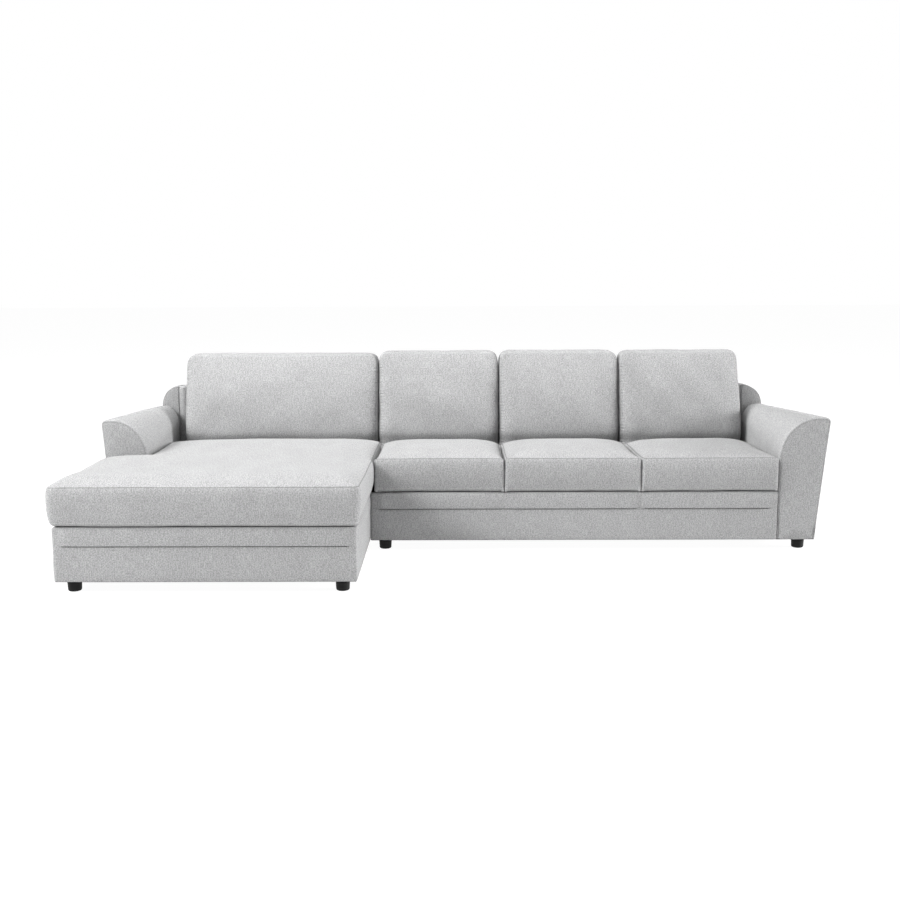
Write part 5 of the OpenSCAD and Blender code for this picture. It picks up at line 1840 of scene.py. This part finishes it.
@dataclass
class Studio:
    """A plain white studio with soft light from the left, the right and above, and the camera."""

    eye: tuple[float, float, float] = (0.0025, -5.3145, 1.2803)
    pitch: float = 0.1565
    yaw: float = 0.0086
    roll: float = -0.0044
    lens: float = 47.567

    def build(self) -> None:
        """Sets the camera, the floor, the world and the lamps."""
        self.camera()
        self.floor()
        self.world()
        self.lamp("key", (-5.5, -4.5, 5.0), (0.0, 0.0, 0.3), 2.4, 478)
        self.lamp("left", (-6.5, -1.6, 4.0), (0.0, 0.0, 0.3), 2.4, 450)
        self.lamp("right", (7.5, -0.15, 1.8), (0.0, -0.2, 0.3), 1.6, 700)
        self.lamp("top", (-0.2, -0.55, 6.0), (0.0, 0.2, 0.3), 3.0, 390)

    def camera(self) -> None:
        """Places the camera at the photographer's spot."""
        level = math.cos(self.pitch)
        ahead, aside = math.cos(self.yaw) * level, -math.sin(self.yaw) * level
        forward = np.array((aside, ahead, -math.sin(self.pitch)))
        right = np.array((math.cos(self.yaw), math.sin(self.yaw), 0.0))
        up = np.cross(right, forward)
        c, s = math.cos(self.roll), math.sin(self.roll)
        side, top = c * right + s * up, -s * right + c * up
        data = bpy.data.cameras.new("camera")
        data.lens = self.lens
        data.sensor_width = 36.0
        camera = hung("camera", data)
        rows = [[side[k], top[k], -forward[k], self.eye[k]] for k in range(3)]
        camera.matrix_world = Matrix(rows + [[0, 0, 0, 1]])
        bpy.context.scene.camera = camera

    def floor(self) -> None:
        """Lays a white floor that shows only the sofa's shadow."""
        size = 30.0
        corners = [(-size, -size, 0), (size, -size, 0), (size, size, 0), (-size, size, 0)]
        plane = add_piece("studio_floor", corners, [[0, 1, 2, 3]])
        g = Graph("studio_white")
        matt = g.add("BsdfDiffuse", {"Color": (0.8, 0.8, 0.8, 1.0)})
        glow = g.add("Emission", {"Color": (1, 1, 1, 1), "Strength": 0.97})
        shade = g.add("BsdfDiffuse", {"Color": (0.14, 0.14, 0.14, 1.0)})
        lit = g.add("AddShader", {0: shade.outputs[0], 1: glow.outputs[0]})
        both = g.add("MixShader", {0: g.seen(), 1: matt.outputs[0], 2: lit.outputs[0]})
        plane.data.materials.append(g.close(both))

    def world(self) -> None:
        """White where it is seen, and a soft even light elsewhere."""
        g = Graph("studio", world=True)
        soft = g.add("Background", {"Color": (1, 1, 1, 1), "Strength": 0.10})
        white = g.add("Background", {"Color": (1, 1, 1, 1)})
        both = g.add("MixShader", {0: g.seen(), 1: soft.outputs[0], 2: white.outputs[0]})
        bpy.context.scene.world = g.close(both, "OutputWorld")
        bpy.context.scene.view_settings.view_transform = "Standard"

    def lamp(self, name: str, eye: tuple, target: tuple, size: float, power: float) -> None:
        """Hangs a square soft lamp that looks at a point."""
        data = bpy.data.lights.new(name, "AREA")
        data.size = size
        data.energy = power
        lamp = hung(name, data)
        away = np.array(eye) - np.array(target)
        away /= np.linalg.norm(away)
        upright = (0.0, 1.0, 0.0) if abs(away[2]) > 0.9 else (0.0, 0.0, 1.0)
        side = np.cross(upright, away)
        side /= np.linalg.norm(side)
        up = np.cross(away, side)
        rows = [[side[k], up[k], away[k], eye[k]] for k in range(3)]
        lamp.matrix_world = Matrix(rows + [[0, 0, 0, 1]])


def feet_points() -> tuple[list[Spot], list[Spot]]:
    """Middles of the feet under the chaise unit and under the three-seat unit."""
    rail, half_block = 0.025, 0.025
    inset = PLAN.skin + rail + half_block
    inner_y = PLAN.back_face - rail - half_block
    left = [
        (PLAN.left + inset, PLAN.chaise_front + inset),
        (PLAN.chaise_right - inset, PLAN.chaise_front + inset),
        (PLAN.left + inset, PLAN.back - inset), (PLAN.chaise_right - inset, inner_y),
        (PLAN.chaise_right - inset, PLAN.step - rail - half_block),
    ]
    right = [
        (PLAN.sofa_left + inset, PLAN.front + inset), (PLAN.right - inset, PLAN.front + inset),
        (PLAN.sofa_left + inset, inner_y), (PLAN.right - inset, PLAN.back - inset),
        (PLAN.division_middle + rail / 2 + half_block, (PLAN.front + PLAN.back_face) / 2),
    ]
    return left, right


def cushions() -> list[SeatCushion | BackCushion]:
    """The eight loose cushions, from left to right."""
    overhang, side_overhang = 0.015, 0.021
    seat_front = PLAN.front - overhang
    chaise_seat_front = PLAN.chaise_front - overhang
    half = PLAN.gap
    first, last = -0.4005, 1.381
    third = (last - first) / 3
    ends = [first + third, first + 2 * third]
    return [
        ChaiseCushion("chaise_seat", PLAN.left - side_overhang, PLAN.division_left - half, chaise_seat_front,
                      dip=0.007, seed=11, radius=0.026, edge_run=0.045, edge_share=0.85, snug=0.0,
                      front_lift=0.010),
        SeatCushion("left_seat", PLAN.division_left + half, PLAN.division_middle - half, seat_front, seed=12),
        SeatCushion("middle_seat", PLAN.division_middle + half, PLAN.division_right - half, seat_front,
                    seed=13),
        SeatCushion("right_seat", PLAN.division_right + half, PLAN.arm_in - PLAN.clear, seat_front, seed=14),
        BackCushion("chaise_back", -1.360, -0.401, seed=21, top=0.836, shoulders=(0.010, 0.001)),
        BackCushion("left_back", -0.400, ends[0] - half, seed=22),
        BackCushion("middle_back", ends[0] + half, ends[1] - half, seed=23),
        BackCushion("right_back", ends[1] + half, 1.393, seed=24, shoulders=(0.001, 0.022)),
    ]


def covers() -> list[Arm | Wing | Back | Base | Deck | DustCloth]:
    """The fixed upholstery of the two units."""
    end = PLAN.back_face - PLAN.gap
    in_left, in_right = PLAN.left + PLAN.skin + PLAN.gap, PLAN.chaise_right - PLAN.skin - PLAN.gap
    step = PLAN.step
    inset, half_gap, right_length = 0.028, 0.006, 0.700
    left_length = step - PLAN.chaise_front
    front_length = PLAN.chaise_right - PLAN.left
    turn = left_length + front_length
    chaise_tucks = [(inset, left_length - inset), (left_length + inset, turn - inset),
                    (turn + inset, turn + right_length - inset)]
    apron_end = PLAN.arm_in - PLAN.gap
    sofa_marks = [PLAN.sofa_left + inset, PLAN.division_middle, PLAN.division_right, apron_end - inset]
    gaps = (0, half_gap, half_gap, 0)
    sofa_tucks = [(sofa_marks[k] + gaps[k] - PLAN.sofa_left, sofa_marks[k + 1] - gaps[k + 1] - PLAN.sofa_left)
                  for k in range(len(gaps) - 1)]
    feet_left, feet_right = feet_points()
    chaise_line = [(PLAN.left, step), (PLAN.left, PLAN.chaise_front), (PLAN.chaise_right, PLAN.chaise_front),
                   (PLAN.chaise_right, end)]
    return [
        Arm("left_arm", PLAN.left_arm, 0.583, True),
        Arm("right_arm", PLAN.front, 0.599, False),
        Wing("left_wing", True, slim=0.18),
        Wing("right_wing", False),
        Back("chaise_back", PLAN.chaise_right, -PLAN.arm_in, roll=0.053),
        Back("sofa_back", PLAN.sofa_left, PLAN.arm_in, roll=0.019, seams=(0.508,)),
        Base("chaise", chaise_line, chaise_tucks),
        Base("sofa", [(PLAN.sofa_left, PLAN.front), (apron_end, PLAN.front)], sofa_tucks,
             seams=(PLAN.division_middle, PLAN.division_right)),
        Deck("chaise", [in_left, -PLAN.arm_in + PLAN.gap, in_right],
             [PLAN.chaise_front + PLAN.skin + PLAN.gap, step - PLAN.gap, end],
             (-PLAN.arm_in + PLAN.gap, step - PLAN.gap)),
        Deck("sofa", [PLAN.sofa_left + PLAN.skin + PLAN.gap, PLAN.arm_in - PLAN.gap],
             [PLAN.front + PLAN.skin + PLAN.gap, end]),
        DustCloth("chaise", PLAN.left, PLAN.chaise_right, PLAN.chaise_front, feet_left),
        DustCloth("sofa", PLAN.sofa_left, PLAN.right, PLAN.front, feet_right),
    ]


def main() -> None:
    """Builds the sofa in order and reports each piece."""
    logging.basicConfig(level=logging.INFO, format="%(name)s: %(message)s")
    Studio().build()
    shop = Workshop()
    FrameFinish().paint(shop)
    for part in covers() + cushions():
        part.build(shop)
    BackWebbing("chaise", (-1.391, -0.91475, -0.4263)).build(shop)
    BackWebbing("sofa", (-0.3747, PLAN.division_middle, PLAN.division_right, 1.391)).build(shop)


if __name__ == "__main__":
    main()
